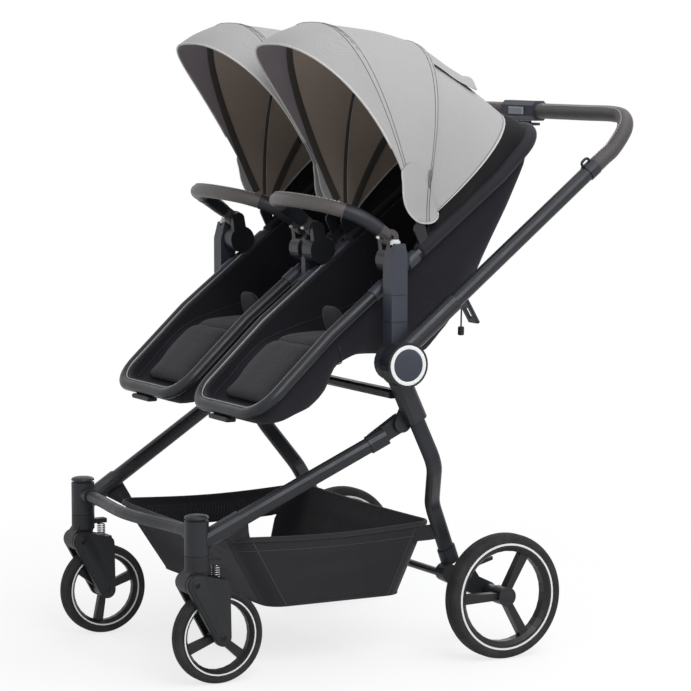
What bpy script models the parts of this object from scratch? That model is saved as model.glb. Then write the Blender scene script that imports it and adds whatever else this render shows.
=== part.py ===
"""Side-by-side double stroller: folding chassis, sprung casters, two reclining seats with hoods.

Metres, +Z up. The stroller faces -Y, the push handle is at +Y, and "left" is the
child's left, at +X. The origin is on the floor under the middle of the whole thing.
"""

import math

import bmesh
import bpy
from mathutils import Matrix, Vector

# Clearances
GAP = 0.0004  # between faces that rest on each other
RUN = 0.0006  # across a face that turns against another
PIN_PLAY = 0.0005  # round a pin in its hole

# Lanes across the stroller
RAIL_HALF = 0.125  # seat middle to the middle of its side rail
RAIL_R = 0.010
HUB_FACE = RAIL_HALF + 0.024  # seat middle to the outer face of its recline hub
MID_POST_T = 0.0148  # thickness of the post between the seats
SEAT_PITCH = MID_POST_T + 2 * (HUB_FACE + RUN)  # middle of one seat to the other's
POST_T = 0.030  # thickness of an outer seat post and of its casting
LANE_GAP = 0.0016  # casting to the push tube's lane

# Push handle
ARM_R = 0.013
SLEEVE_R = 0.0158
ARM_ANGLE = math.radians(38.5)  # rise of the push tubes from the floor
ARM_OFFSET = 0.018  # hub centre to the push tube's axis
SLEEVE_LEN = 0.139
COLLAR_AT = 0.493  # along the push tube, where the sliding bar comes out
COLLAR_LEN = 0.020
SLIDE_IN = 0.125  # how much of the sliding bar is in the tube
BAR_R = 0.0104
GRIP_R = 0.0138
BAR_Y, BAR_Z = 0.398, 0.936  # the cross part of the handle
BEND_AT = 0.540  # along the arm, where the bar starts to bend in
HOUSING_LEN = 0.106
HOUSING_W, HOUSING_H = 0.033, 0.036
BUTTON_LEN, BUTTON_H, BUTTON_OUT = 0.048, 0.013, 0.003
LEVER_LEN, LEVER_W, LEVER_T = 0.068, 0.019, 0.005
LEVER_ROOM = 0.004  # the squeeze lever's travel under the housing

# Fold hubs, castings and rear legs
HUB = Vector((0, -0.055, 0.529))
HUB_R = 0.0385
CAST_HUB_R = 0.030
HUB_PIN_R = 0.010
LEG_ANGLE = math.radians(25.0)  # of the rear leg from the vertical, seen from the side
LEG_Y0, LEG_Z0 = -0.0410, 0.492  # a point on the leg's line
LEG_W, LEG_T = 0.029, 0.017  # flat-oval leg tube
CAST_END_Z = 0.430
CAST_W = 0.034
LEG_KNEE_Z, LEG_JOG_Z, LEG_FOOT_Z = 0.352, 0.272, 0.190
LEG_JOG_X, LEG_FOOT_X = 0.248, 0.231
POST_Y, POST_W = -0.053, 0.030
POST_SEAM_Z = 0.598
POST_TOP_Z = 0.728
POST_BUTTON_R, POST_BUTTON_UP, POST_BUTTON_IN = 0.0085, 0.006, 0.007
CROSS_Y, CROSS_Z = -0.045, 0.474
CROSS_W, CROSS_H = 0.022, 0.015

# Rear axle and wheels
REAR_R, REAR_W = 0.109, 0.034
REAR_RIM_R = 0.0905
REAR_X, REAR_Y = 0.295, 0.1765
ARM_IN_X, ARM_W = 0.2195, 0.027
AXLE_R = 0.0060
BOSS_R = 0.0165
ROD_Y, ROD_Z, ROD_R = 0.101, 0.142, 0.0068
PEDAL_Y, PEDAL_Z = 0.141, 0.1520
PEDAL_LEN, PEDAL_T, PEDAL_EAR = 0.048, 0.006, 0.0045

# Front frame and casters
FOLD_Y, FOLD_Z = -0.032, 0.424  # pivot of the front tubes on the castings
FOLD_PIN_R = 0.005
FOLD_EYE_R, FOLD_EYE_T = 0.0155, 0.014
FOLD_ROOM_R = 0.042  # the tube's full width starts this far from the pivot
FRONT_TUBE_R = 0.0135
FRONT_SLEEVE_R = 0.0160
CASTER_X, CASTER_Y = 0.236, -0.380
TUBE_FOOT_Z = 0.236
HEAD_R = 0.0205
HEAD_TOP_Z, HEAD_LOW_Z = 0.281, 0.2185
COLLAR_LOW_Z = 0.1925
STEM_R = 0.007
BAR_SOCKET_R, BAR_SOCKET_LEN = 0.0135, 0.036
FRONT_BAR_R, FRONT_BAR_Z, FRONT_BAR_BOW = 0.0105, 0.254, 0.020
KNUCKLE_Y, KNUCKLE_Z, KNUCKLE_R = -0.391, 0.172, 0.018
FRONT_R, FRONT_W = 0.080, 0.028
FRONT_RIM_R = 0.0665
FRONT_Y = -0.343
FORK_IN, FORK_T = 0.0160, 0.008
FORK_PIN_R = 0.0045
BRIDGE_Y, BRIDGE_LOW_Z, BRIDGE_T = -0.345, 0.1660, 0.012
SPRING_R, SPRING_WIRE_R, SPRING_CURLS = 0.0068, 0.0012, 5
SPRING_LUG_Z = 0.2005

# Seats
RAIL_FRONT_Y, RAIL_FRONT_Z = -0.292, 0.447
RAIL_RUNS = ((43.0, 0.19), (38.0, 0.418), (44.0, 0.11))  # slope in degrees, length
RAIL_CORNER_R = 0.052
RECLINE_Y, RECLINE_Z = -0.040, 0.698
RECLINE_R = 0.024
RECLINE_PIN_R = 0.006
RECLINE_PIN_IN = 0.012
HUB_T = 0.0334  # thickness of a recline hub
HUB_IN = HUB_FACE - HUB_T
FABRIC_T = 0.004
TUB_ROUND = 4.5  # how square the seat fabric's cross-section is
PAD_HALF, PAD_T = 0.086, 0.020
CANOPY_BACK, CANOPY_UP = 0.0538, 0.0501  # hood hinge behind and above the recline pin
CANOPY_Y, CANOPY_Z = RECLINE_Y + CANOPY_BACK, RECLINE_Z + CANOPY_UP
CANOPY_T = 0.002
HOOD_STEP = 0.0009  # between the front hood and the rear hood under it
# Ribs of the hood: angle from the back in degrees, radius of the arch, how square the arch is
HOOD_RIBS = ((42.0, 0.2924, 2.45), (83.2, 0.3155, 2.63), (111.8, 0.3701, 2.74), (124.7, 0.3739, 2.67))
HOOD_LAP = 1.5  # how far each hood reaches past the seam between them, degrees
HOOD_SIDE = 113.8  # angle of the front edge at the sides
HOOD_VISOR = 10.9  # how much further forward the front edge is in the middle
HOOD_SWELL = 0.055  # how far the sides swell past the hinge lane
HOOD_EYE = 0.0145  # share of the swell's span in which the cloth lies flat inside its bracket
HOOD_NEAR = (0.0045, 0.0126, 0.050, 0.105)  # distances from the hinge that every row shares
BRACKET_SET, BRACKET_T = 0.0018, 0.0040
BRACKET_IN = RAIL_HALF + BRACKET_SET
BUMPER_Y, BUMPER_Z = -0.048, 0.736
BUMPER_R, BUMPER_EYE_R = 0.0115, 0.014
BUMPER_EYE_SET, BUMPER_EYE_T = 0.0034, 0.0146
BUMPER_EYE_IN = RAIL_HALF + BUMPER_EYE_SET
BUMPER_EYE_OUT = BUMPER_EYE_IN + BUMPER_EYE_T
LEGREST_LEVER = Vector((0.070, 0.019, 0.008))
RECLINE_LEVER_W, RECLINE_LEVER_LEN, RECLINE_LEVER_T = 0.034, 0.094, 0.006
RECLINE_LEVER_Y, RECLINE_LEVER_Z = 0.1528, 0.652

# Basket
BASKET_TOP = (0.238, -0.312, 0.069, 0.236)  # half width, front, back, height
BASKET_LOW = (0.218, -0.236, 0.023, 0.113)
BASKET_T = 0.004
BASKET_WINDOW = [(-0.165, 0.190), (-0.165, 0.146), (0.022, 0.146), (0.034, 0.190)]  # side access

# Draw cord at the back of the left seat
CORD_R = 0.0015
TOGGLE_R, TOGGLE_LEN = 0.0055, 0.015

COLOURS = {
    "tube": ((0.035, 0.040, 0.052), 0.42, 0.7),
    "housing": ((0.075, 0.085, 0.108), 0.50, 0.1),
    "plastic": ((0.030, 0.032, 0.036), 0.55, 0.0),
    "tyre": ((0.020, 0.021, 0.022), 0.85, 0.0),
    "rim": ((0.026, 0.027, 0.030), 0.50, 0.0),
    "steel": ((0.62, 0.62, 0.62), 0.30, 1.0),
    "leatherette": ((0.090, 0.072, 0.062), 0.60, 0.0),
    "fabric_black": ((0.016, 0.016, 0.018), 0.95, 0.0),
    "pad_charcoal": ((0.060, 0.060, 0.064), 0.92, 0.0),
    "canopy_grey": ((0.420, 0.410, 0.400), 0.90, 0.0),
    "mesh_black": ((0.020, 0.020, 0.020), 0.90, 0.0),
    "cord": ((0.015, 0.015, 0.015), 0.90, 0.0),
}

# Values worked out from the sizes above
SEAT_X = SEAT_PITCH / 2
POST_IN_X = SEAT_X + HUB_FACE + RUN
POST_OUT_X = POST_IN_X + POST_T
POST_MID_X = POST_IN_X + POST_T / 2
ARM_X = POST_OUT_X + LANE_GAP + SLEEVE_R
FRONT_TOP_X = POST_IN_X + 0.0134
ARM_OUT_X = ARM_IN_X + ARM_W
ARM_DIR = Vector((0, math.cos(ARM_ANGLE), math.sin(ARM_ANGLE)))
ARM_FOOT = HUB + ARM_OFFSET * Vector((0, -math.sin(ARM_ANGLE), math.cos(ARM_ANGLE)))
ORIGIN_SHIFT = Vector((0, -(FRONT_Y - FRONT_R + BAR_Y + HOUSING_W / 2) / 2, 0))
SIDES = {"left": 1, "right": -1}


def clear_scene():
    """Empties the scene."""
    for thing in list(bpy.data.objects):
        bpy.data.objects.remove(thing, do_unlink=True)


def finish_of(name):
    """The material of one finish, made on first use."""
    found = bpy.data.materials.get(name)
    if found:
        return found
    colour, roughness, metallic = COLOURS[name]
    made = bpy.data.materials.new(name)
    made.use_nodes = True
    shader = made.node_tree.nodes["Principled BSDF"]
    shader.inputs["Base Color"].default_value = (*colour, 1)
    shader.inputs["Roughness"].default_value = roughness
    shader.inputs["Metallic"].default_value = metallic
    made.diffuse_color = (*colour, 1)
    return made


def piece(name, bm, finish, origin=(0, 0, 0)):
    """Turns a bmesh into a named object with its origin where the piece turns or stands."""
    bmesh.ops.recalc_face_normals(bm, faces=bm.faces)
    bmesh.ops.translate(bm, verts=bm.verts, vec=-Vector(origin))
    mesh = bpy.data.meshes.new(name)
    bm.to_mesh(mesh)
    bm.free()
    mesh.shade_smooth()
    mesh.set_sharp_from_angle(angle=math.radians(38))
    mesh.materials.append(finish_of(finish))
    made = bpy.data.objects.new(name, mesh)
    made.location = Vector(origin) + ORIGIN_SHIFT
    bpy.context.scene.collection.objects.link(made)
    return made


def combined(first, joins=(), cuts=()):
    """One bmesh: the first shape joined with some others and cut by others again."""
    base = piece("shape", first, "plastic")
    helpers = []
    for operation, shapes in (("UNION", joins), ("DIFFERENCE", cuts)):
        for shape in shapes:
            helper = piece("helper", shape, "plastic")
            step = base.modifiers.new(operation, "BOOLEAN")
            step.operation = operation
            step.solver = "EXACT"
            step.object = helper
            helpers.append(helper)
    bpy.context.view_layer.update()
    graph = bpy.context.evaluated_depsgraph_get()
    result = bmesh.new()
    result.from_mesh(base.evaluated_get(graph).to_mesh())
    for thing in [base, *helpers]:
        mesh = thing.data
        bpy.data.objects.remove(thing, do_unlink=True)
        bpy.data.meshes.remove(mesh)
    return result


def round_section(radius, sides):
    """A circle's points."""
    turn = 2 * math.pi / sides
    return [(radius * math.cos(i * turn), radius * math.sin(i * turn)) for i in range(sides)]


def oval_section(width, thick, sides=12):
    """A flat oval: two half circles and straight sides, wide along the second axis."""
    r = thick / 2
    points = []
    for i in range(sides):
        turn = 2 * math.pi * (i + 0.5) / sides
        shift = math.copysign((width - thick) / 2, math.sin(turn))
        points.append((r * math.cos(turn), r * math.sin(turn) + shift))
    return points


def box_section(width, thick, corner):
    """A rectangle with cut corners, width along the second axis."""
    a, b = thick / 2, width / 2
    return [
        (a, -b + corner), (a, b - corner), (a - corner, b), (-a + corner, b),
        (-a, b - corner), (-a, -b + corner), (-a + corner, -b), (a - corner, -b),
    ]


def frames_along(path, side, closed):
    """For each point of a path, two directions across it, the first as near to side as can be."""
    count = len(path)
    for i, point in enumerate(path):
        after = path[(i + 1) % count] if closed or i + 1 < count else point
        before = path[i - 1] if closed or i else point
        along = (after - before).normalized()
        across = (side - side.dot(along) * along).normalized()
        yield point, across, along.cross(across)


def swept(path, section, side, closed=False, bore=None):
    """A section carried along a path, with its ends capped. A bore leaves it hollow and open."""
    bm = bmesh.new()
    loops = []
    for outline in (section, bore) if bore else (section,):
        rings = []
        for point, across, other in frames_along(path, side, closed):
            rings.append([bm.verts.new(point + a * across + b * other) for a, b in outline])
        loops.append(rings)
    for rings in loops:
        pairs = list(zip(rings, rings[1:]))
        if closed:
            pairs.append((rings[-1], rings[0]))
        for one, two in pairs:
            for i in range(len(one)):
                j = (i + 1) % len(one)
                bm.faces.new((one[i], one[j], two[j], two[i]))
    if bore:
        for end in (0, -1):
            outer, inner = loops[0][end], loops[1][end]
            for i in range(len(outer)):
                j = (i + 1) % len(outer)
                bm.faces.new((outer[i], outer[j], inner[j], inner[i]))
    elif not closed:
        bm.faces.new(loops[0][0])
        bm.faces.new(loops[0][-1])
    return bm


def rod(start, end, radius, sides=14):
    """A plain round bar between two points."""
    start, end = Vector(start), Vector(end)
    along = (end - start).normalized()
    side = Vector((0, 0, 1)) if abs(along.z) < 0.9 else Vector((0, 1, 0))
    return swept([start, end], round_section(radius, sides), side)


def turned(profile, centre, axis="X", segments=28):
    """A closed profile of (radius, along) points turned about an axis through the centre."""
    bm = bmesh.new()
    rings = []
    for i in range(segments):
        turn = 2 * math.pi * i / segments
        ring = []
        for radius, along in profile:
            spot = Vector((along, radius * math.cos(turn), radius * math.sin(turn)))
            if axis == "Z":
                spot = Vector((spot.y, spot.z, spot.x))
            ring.append(bm.verts.new(spot + Vector(centre)))
        rings.append(ring)
    for i in range(segments):
        one, two = rings[i], rings[(i + 1) % segments]
        for j in range(len(profile)):
            k = (j + 1) % len(profile)
            bm.faces.new((one[j], one[k], two[k], two[j]))
    return bm


def prism(outline, low_x, high_x):
    """An outline of (y, z) points extruded along X."""
    bm = bmesh.new()
    ends = [[bm.verts.new((x, y, z)) for y, z in outline] for x in (low_x, high_x)]
    for i in range(len(outline)):
        j = (i + 1) % len(outline)
        bm.faces.new((ends[0][i], ends[0][j], ends[1][j], ends[1][i]))
    bm.faces.new(ends[0])
    bm.faces.new(ends[1])
    return bm


def hull_outline(discs, sides=20):
    """The outline that wraps round some discs, each (y, z, radius)."""
    points = []
    for y, z, radius in discs:
        for a, b in round_section(radius, sides):
            points.append((y + a, z + b))
    points.sort()

    def half(row):
        kept = []
        for p in row:
            while len(kept) > 1 and turn_of(kept[-2], kept[-1], p) <= 1e-12:
                kept.pop()
            kept.append(p)
        return kept[:-1]

    return half(points) + half(points[::-1])


def turn_of(a, b, c):
    """Positive when a, b, c turn left."""
    return (b[0] - a[0]) * (c[1] - a[1]) - (b[1] - a[1]) * (c[0] - a[0])


def box(low, high, bevel=0.0):
    """A box between two corners, its edges bevelled."""
    bm = bmesh.new()
    size = Vector(high) - Vector(low)
    middle = (Vector(high) + Vector(low)) / 2
    bmesh.ops.create_cube(bm, size=1, matrix=Matrix.Translation(middle) @ Matrix.Diagonal((*size, 1)))
    if bevel:
        bmesh.ops.bevel(bm, geom=bm.edges[:], offset=bevel, segments=1, affect="EDGES")
    return bm


def smooth_through(points, per_span=5):
    """Points on a smooth curve through the given ones."""
    ends = [2 * points[0] - points[1], *points, 2 * points[-1] - points[-2]]
    path = []
    for a, b, c, d in zip(ends, ends[1:], ends[2:], ends[3:]):
        for i in range(per_span):
            t = i / per_span
            path.append(
                0.5 * (2 * b + (c - a) * t + (2 * a - 5 * b + 4 * c - d) * t * t
                       + (3 * b - a - 3 * c + d) * t ** 3)
            )
    path.append(points[-1])
    return path


def bent(corners, radius, steps=5):
    """A path through straight runs, each inner corner rounded to an arc."""
    path = [corners[0]]
    for before, corner, after in zip(corners, corners[1:], corners[2:]):
        into = (corner - before).normalized()
        out = (after - corner).normalized()
        angle = into.angle(out)
        reach = radius * math.tan(angle / 2)
        start = corner - into * reach
        inward = (out - into * into.dot(out)).normalized()
        for i in range(steps + 1):
            turn = angle * i / steps
            path.append(start + into * radius * math.sin(turn) + inward * radius * (1 - math.cos(turn)))
    path.append(corners[-1])
    return path


def sheet_solid(outer, inner):
    """A closed solid between two grids of points of the same shape."""
    bm = bmesh.new()
    grids = [[[bm.verts.new(p) for p in row] for row in grid] for grid in (outer, inner)]
    rows, columns = len(outer), len(outer[0])
    for grid in grids:
        for i in range(rows - 1):
            for j in range(columns - 1):
                bm.faces.new((grid[i][j], grid[i][j + 1], grid[i + 1][j + 1], grid[i + 1][j]))
    top, under = grids
    rim = [(0, j) for j in range(columns)] + [(i, columns - 1) for i in range(1, rows)]
    rim += [(rows - 1, j) for j in range(columns - 2, -1, -1)]
    rim += [(i, 0) for i in range(rows - 2, 0, -1)]
    for (i, j), (k, l) in zip(rim, rim[1:] + rim[:1]):
        bm.faces.new((top[i][j], top[k][l], under[k][l], under[i][j]))
    return bm


# Push handle


def on_arm(side, along, x=None):
    """A point on a push tube's axis."""
    spot = ARM_FOOT + ARM_DIR * along
    return Vector((side * (ARM_X if x is None else x), spot.y, spot.z))


def bar_path():
    """The sliding bar's centre line, from inside the left push tube to inside the right."""
    half = [
        on_arm(1, COLLAR_AT - SLIDE_IN),
        on_arm(1, COLLAR_AT),
        on_arm(1, BEND_AT),
        Vector((ARM_X - 0.0055, BAR_Y - 0.015, BAR_Z - 0.025)),
        Vector((ARM_X - 0.028, BAR_Y - 0.002, BAR_Z - 0.006)),
        Vector((ARM_X - 0.064, BAR_Y, BAR_Z)),
        Vector((ARM_X - 0.150, BAR_Y, BAR_Z)),
        Vector((HOUSING_LEN / 2, BAR_Y, BAR_Z)),
    ]
    straight = half[:2]
    curve = smooth_through(half[1:7], 2)[1:]
    left = straight + curve + half[7:]
    return left + [Vector((-p.x, p.y, p.z)) for p in reversed(left)]


def push_tube(name, side):
    """Hub disc, sleeve, tube and collar, bored for the sliding bar."""
    tube = rod(on_arm(side, 0.004), on_arm(side, COLLAR_AT), ARM_R)
    sleeve = rod(on_arm(side, -0.010), on_arm(side, SLEEVE_LEN), SLEEVE_R, 16)
    collar = rod(on_arm(side, COLLAR_AT - COLLAR_LEN), on_arm(side, COLLAR_AT), ARM_R + 0.002)
    low, high = ARM_X - SLEEVE_R, ARM_X + SLEEVE_R
    disc = rod((side * low, *HUB.yz), (side * high, *HUB.yz), HUB_R - 0.001, 28)
    bore = rod(on_arm(side, COLLAR_AT - SLIDE_IN - 0.004), on_arm(side, COLLAR_AT + 0.05),
               BAR_R + PIN_PLAY)
    socket = rod((side * (low - 0.01), *HUB.yz), (side * (high - 0.004), *HUB.yz),
                 HUB_PIN_R + PIN_PLAY)
    shape = combined(tube, [sleeve, collar, disc], [bore, socket])
    piece(name, shape, "tube", (side * ARM_X, *HUB.yz))


def handle_grip(name, side):
    """Leatherette sleeve on the sliding bar, from the collar to the middle housing."""
    path = [p for p in bar_path() if p.x * side > 0]
    if side < 0:
        path.reverse()
    start = on_arm(side, COLLAR_AT + GAP)
    end = Vector((side * (HOUSING_LEN / 2 + GAP), BAR_Y, BAR_Z))
    path = [start, *path[2:-1], end]
    plane = Vector((0, -math.sin(ARM_ANGLE), math.cos(ARM_ANGLE)))
    shape = swept(path, round_section(GRIP_R, 10), plane,
                  bore=round_section(BAR_R + PIN_PLAY, 10))
    piece(name, shape, "leatherette", on_arm(side, COLLAR_AT))


def push_handle():
    """Everything that folds with the push tubes."""
    for name, side in SIDES.items():
        push_tube(f"push_tube_{name}", side)
        handle_grip(f"handle_grip_{name}", side)
    plane = Vector((0, -math.sin(ARM_ANGLE), math.cos(ARM_ANGLE)))
    piece("handle_bar", swept(bar_path(), round_section(BAR_R, 10), plane), "tube",
          (0, BAR_Y, BAR_Z))
    middle = Vector((0, BAR_Y, BAR_Z))
    half = Vector((HOUSING_LEN / 2, 0, 0))
    outline = box_section(HOUSING_H, HOUSING_W, 0.008)
    casing = swept([middle - half, middle + half], outline, Vector((0, 1, 0)))
    tunnel = swept([middle - 2 * half, middle + 2 * half], round_section(BAR_R + PIN_PLAY, 10),
                   plane)
    front = BAR_Y - HOUSING_W / 2
    room = Vector((BUTTON_LEN / 2 + PIN_PLAY, 0, BUTTON_H / 2 + PIN_PLAY))
    depth = 0.0045
    pocket = box(Vector((-room.x, front - 0.01, BAR_Z - room.z)),
                 Vector((room.x, front + depth, BAR_Z + room.z)))
    piece("handle_housing", combined(casing, [], [pocket, tunnel]), "housing", middle)
    thumb = box((-BUTTON_LEN / 2, front - BUTTON_OUT, BAR_Z - BUTTON_H / 2),
                (BUTTON_LEN / 2, front + depth - BUTTON_OUT - GAP, BAR_Z + BUTTON_H / 2), 0.001)
    piece("fold_button", thumb, "housing", (0, front, BAR_Z))
    squeeze_lever()


def squeeze_lever():
    """Lever under the housing that frees the bar to slide."""
    under = BAR_Z - HOUSING_H / 2
    hinge_y = BAR_Y - HOUSING_W / 2 + 0.0115
    top = under - LEVER_ROOM
    plate = box((-LEVER_LEN / 2, hinge_y - 0.003, top - LEVER_T),
                (LEVER_LEN / 2, hinge_y + LEVER_W, top), 0.001)
    eye = box((-LEVER_LEN / 2 + 0.004, hinge_y - 0.0025, top - LEVER_T / 2),
              (LEVER_LEN / 2 - 0.004, hinge_y + 0.0025, under - GAP))
    piece("height_lever", combined(plate, [eye]), "plastic", (0, hinge_y, under - 0.003))


# Rear frame


def leg_y(z):
    """Where the rear leg's line is at a height, seen from the side."""
    return LEG_Y0 + (LEG_Z0 - z) * math.tan(LEG_ANGLE)


def hub_casting(name, side):
    """Hub, leg socket and seat post foot in one casting, with the pins that carry what turns."""
    low, high = side * POST_IN_X, side * POST_OUT_X
    barrel = rod((low, *HUB.yz), (high, *HUB.yz), CAST_HUB_R, 24)
    mid = side * POST_MID_X
    down = [Vector((mid, leg_y(z), z)) for z in (HUB.z - 0.010, CAST_END_Z)]
    socket = swept(down, box_section(CAST_W, POST_T, 0.006), Vector((1, 0, 0)))
    foot = box((min(low, high), POST_Y - POST_W / 2, HUB.z),
               (max(low, high), POST_Y + POST_W / 2, POST_SEAM_Z))
    outer_pin = rod((high - side * 0.002, *HUB.yz),
                    (side * (ARM_X + SLEEVE_R - 0.0045), *HUB.yz), HUB_PIN_R)
    inner_pin = rod((low + side * 0.002, FOLD_Y, FOLD_Z),
                    (low - side * (FOLD_EYE_T + RUN), FOLD_Y, FOLD_Z), FOLD_PIN_R)
    lug = prism(hull_outline([(FOLD_Y, FOLD_Z, FOLD_EYE_R), (leg_y(0.450), 0.450, 0.014)]),
                *sorted((low, side * (POST_MID_X - LEG_T / 2 - GAP))))
    shape = combined(barrel, [socket, foot, lug, outer_pin, inner_pin])
    piece(name, shape, "housing", (mid, *HUB.yz))


def leg_path(side):
    """Centre line of a rear leg, jogged inwards above the wheel."""
    rows = [(POST_MID_X, CAST_END_Z - GAP), (POST_MID_X, LEG_KNEE_Z), (LEG_JOG_X, LEG_JOG_Z),
            (LEG_FOOT_X, LEG_FOOT_Z)]
    return bent([Vector((side * x, leg_y(z), z)) for x, z in rows], 0.060, 4)


def rear_leg(name, side):
    """Flat-oval tube from the casting to the axle arm."""
    path = leg_path(side)
    piece(name, swept(path, oval_section(LEG_W, LEG_T), Vector((1, 0, 0))), "tube", path[0])


def axle_arm(name, side):
    """Moulded arm from the foot of the leg back to the wheel, with the stub axle."""
    foot = Vector((side * LEG_FOOT_X, leg_y(LEG_FOOT_Z), LEG_FOOT_Z))
    knee = Vector((side * LEG_JOG_X, leg_y(LEG_JOG_Z), LEG_JOG_Z))
    down = (foot - knee).normalized()
    start = foot + down * GAP
    socket = swept([start, start + down * 0.030], oval_section(LEG_W + 0.005, LEG_T + 0.005),
                   Vector((1, 0, 0)))
    outline = hull_outline([(ROD_Y, ROD_Z + 0.004, 0.016), (REAR_Y, REAR_R, BOSS_R)])
    arm = prism(outline, *sorted((side * ARM_IN_X, side * ARM_OUT_X)))
    face = REAR_X - REAR_W / 2 + 0.001 - RUN
    boss = rod((side * (ARM_OUT_X - 0.004), REAR_Y, REAR_R), (side * face, REAR_Y, REAR_R),
               BOSS_R - 0.003, 16)
    stub = rod((side * (face - 0.004), REAR_Y, REAR_R),
               (side * (REAR_X + REAR_W / 2 - 0.004), REAR_Y, REAR_R), AXLE_R)
    joins, cuts = [socket, boss, stub], []
    if side > 0:
        ear = hull_outline([(PEDAL_Y, PEDAL_Z, 0.0055), (PEDAL_Y - 0.008, PEDAL_Z - 0.016, 0.008),
                            (PEDAL_Y + 0.014, PEDAL_Z - 0.022, 0.006)])
        joins.append(prism(ear, ARM_IN_X, ARM_IN_X + PEDAL_EAR))
        joins.append(prism(ear, ARM_OUT_X - PEDAL_EAR, ARM_OUT_X))
        cuts.append(rod((ARM_IN_X - 0.01, PEDAL_Y, PEDAL_Z), (ARM_OUT_X + 0.01, PEDAL_Y, PEDAL_Z),
                        0.0025 + PIN_PLAY))
    piece(name, combined(arm, joins, cuts), "plastic", foot)


def brake_pedal():
    """Foot pedal between two ears of the left axle arm. Pressing it locks the wheels."""
    low, high = ARM_IN_X + PEDAL_EAR + RUN, ARM_OUT_X - PEDAL_EAR - RUN
    eye = prism(hull_outline([(PEDAL_Y, PEDAL_Z, 0.0050)], 12), low, high)
    tip_y, tip_z = PEDAL_Y + PEDAL_LEN, PEDAL_Z + 0.010
    plate = prism([(PEDAL_Y, PEDAL_Z - 0.003), (tip_y, tip_z), (tip_y, tip_z + PEDAL_T),
                   (PEDAL_Y, PEDAL_Z + 0.0045)], low, high)
    pin = rod((ARM_IN_X + GAP, PEDAL_Y, PEDAL_Z), (ARM_OUT_X - GAP, PEDAL_Y, PEDAL_Z), 0.0025, 10)
    piece("brake_pedal", combined(plate, [eye, pin]), "plastic",
          ((low + high) / 2, PEDAL_Y, PEDAL_Z))


def seat_post(name, side):
    """Outer seat post with its recline pin and the pocket of its release button."""
    low, high = sorted((side * POST_IN_X, side * POST_OUT_X))
    body = prism(
        [(POST_Y - POST_W / 2, POST_SEAM_Z + GAP), (POST_Y + POST_W / 2, POST_SEAM_Z + GAP),
         (POST_Y + POST_W / 2, POST_TOP_Z - 0.022), (POST_Y + POST_W / 2 - 0.004, POST_TOP_Z),
         (POST_Y - POST_W / 2 + 0.008, POST_TOP_Z), (POST_Y - POST_W / 2, POST_TOP_Z - 0.030)],
        low, high)
    pin = rod((side * (POST_IN_X + 0.002), RECLINE_Y, RECLINE_Z),
              (side * (POST_IN_X - RUN - RECLINE_PIN_IN), RECLINE_Y, RECLINE_Z), RECLINE_PIN_R)
    mid = side * POST_MID_X
    pocket = rod((mid, POST_Y, POST_TOP_Z - POST_BUTTON_IN), (mid, POST_Y, POST_TOP_Z + 0.01),
                 POST_BUTTON_R + PIN_PLAY, 16)
    piece(name, combined(body, [pin], [pocket]), "housing", (mid, POST_Y, POST_SEAM_Z))


def post_button(name, side):
    """Release button in the top of an outer seat post."""
    mid = side * POST_MID_X
    reach = 0.0022
    low = POST_TOP_Z - reach
    cap = rod((mid, POST_Y, low), (mid, POST_Y, POST_TOP_Z + POST_BUTTON_UP), POST_BUTTON_R, 16)
    rim = [e for e in cap.edges if all(v.co.z > POST_TOP_Z for v in e.verts)]
    bmesh.ops.bevel(cap, geom=rim, offset=0.002, segments=2, affect="EDGES")
    piece(name, cap, "steel", (mid, POST_Y, POST_TOP_Z))


def middle_post():
    """Post between the seats, on the cross bar, with a recline pin on each side."""
    half = MID_POST_T / 2
    foot_z = CROSS_Z + CROSS_H / 2 + GAP
    body = prism(
        [(CROSS_Y - 0.013, foot_z), (CROSS_Y + 0.013, foot_z), (RECLINE_Y + 0.013, RECLINE_Z - 0.06),
         (RECLINE_Y + 0.013, RECLINE_Z + 0.020), (RECLINE_Y + 0.006, RECLINE_Z + 0.028),
         (RECLINE_Y - 0.010, RECLINE_Z + 0.028), (RECLINE_Y - 0.017, RECLINE_Z + 0.018),
         (RECLINE_Y - 0.017, RECLINE_Z - 0.06)],
        -half, half)
    reach = half + RUN + RECLINE_PIN_IN
    pin = rod((-reach, RECLINE_Y, RECLINE_Z), (reach, RECLINE_Y, RECLINE_Z), RECLINE_PIN_R)
    piece("seat_post_middle", combined(body, [pin]), "housing", (0, CROSS_Y, foot_z))


def rear_frame():
    """What stands still: castings, legs, cross bar, axle, posts."""
    for name, side in SIDES.items():
        hub_casting(f"hub_casting_{name}", side)
        rear_leg(f"rear_leg_{name}", side)
        axle_arm(f"axle_arm_{name}", side)
        seat_post(f"seat_post_{name}", side)
        post_button(f"post_button_{name}", side)
    middle_post()
    end = POST_IN_X - GAP
    bar = swept([Vector((-end, CROSS_Y, CROSS_Z)), Vector((end, CROSS_Y, CROSS_Z))],
                box_section(CROSS_H, CROSS_W, 0.004), Vector((0, 1, 0)))
    piece("cross_bar", bar, "tube", (0, CROSS_Y, CROSS_Z))
    end = ARM_IN_X - GAP
    piece("rear_axle", rod((-end, ROD_Y, ROD_Z), (end, ROD_Y, ROD_Z), ROD_R, 12), "tube",
          (0, ROD_Y, ROD_Z))
    brake_pedal()


# Wheels


def tyre(name, centre, radius, width, rim_radius, segments):
    """Solid tyre with a rounded tread and sidewalls."""
    half = width / 2
    inner = rim_radius + GAP
    profile = [
        (inner, -half + 0.003), (radius - 0.009, -half), (radius, -half + 0.009),
        (radius, half - 0.009), (radius - 0.009, half), (inner, half - 0.003),
    ]
    piece(name, turned(profile, centre, "X", segments), "tyre", centre)


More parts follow.
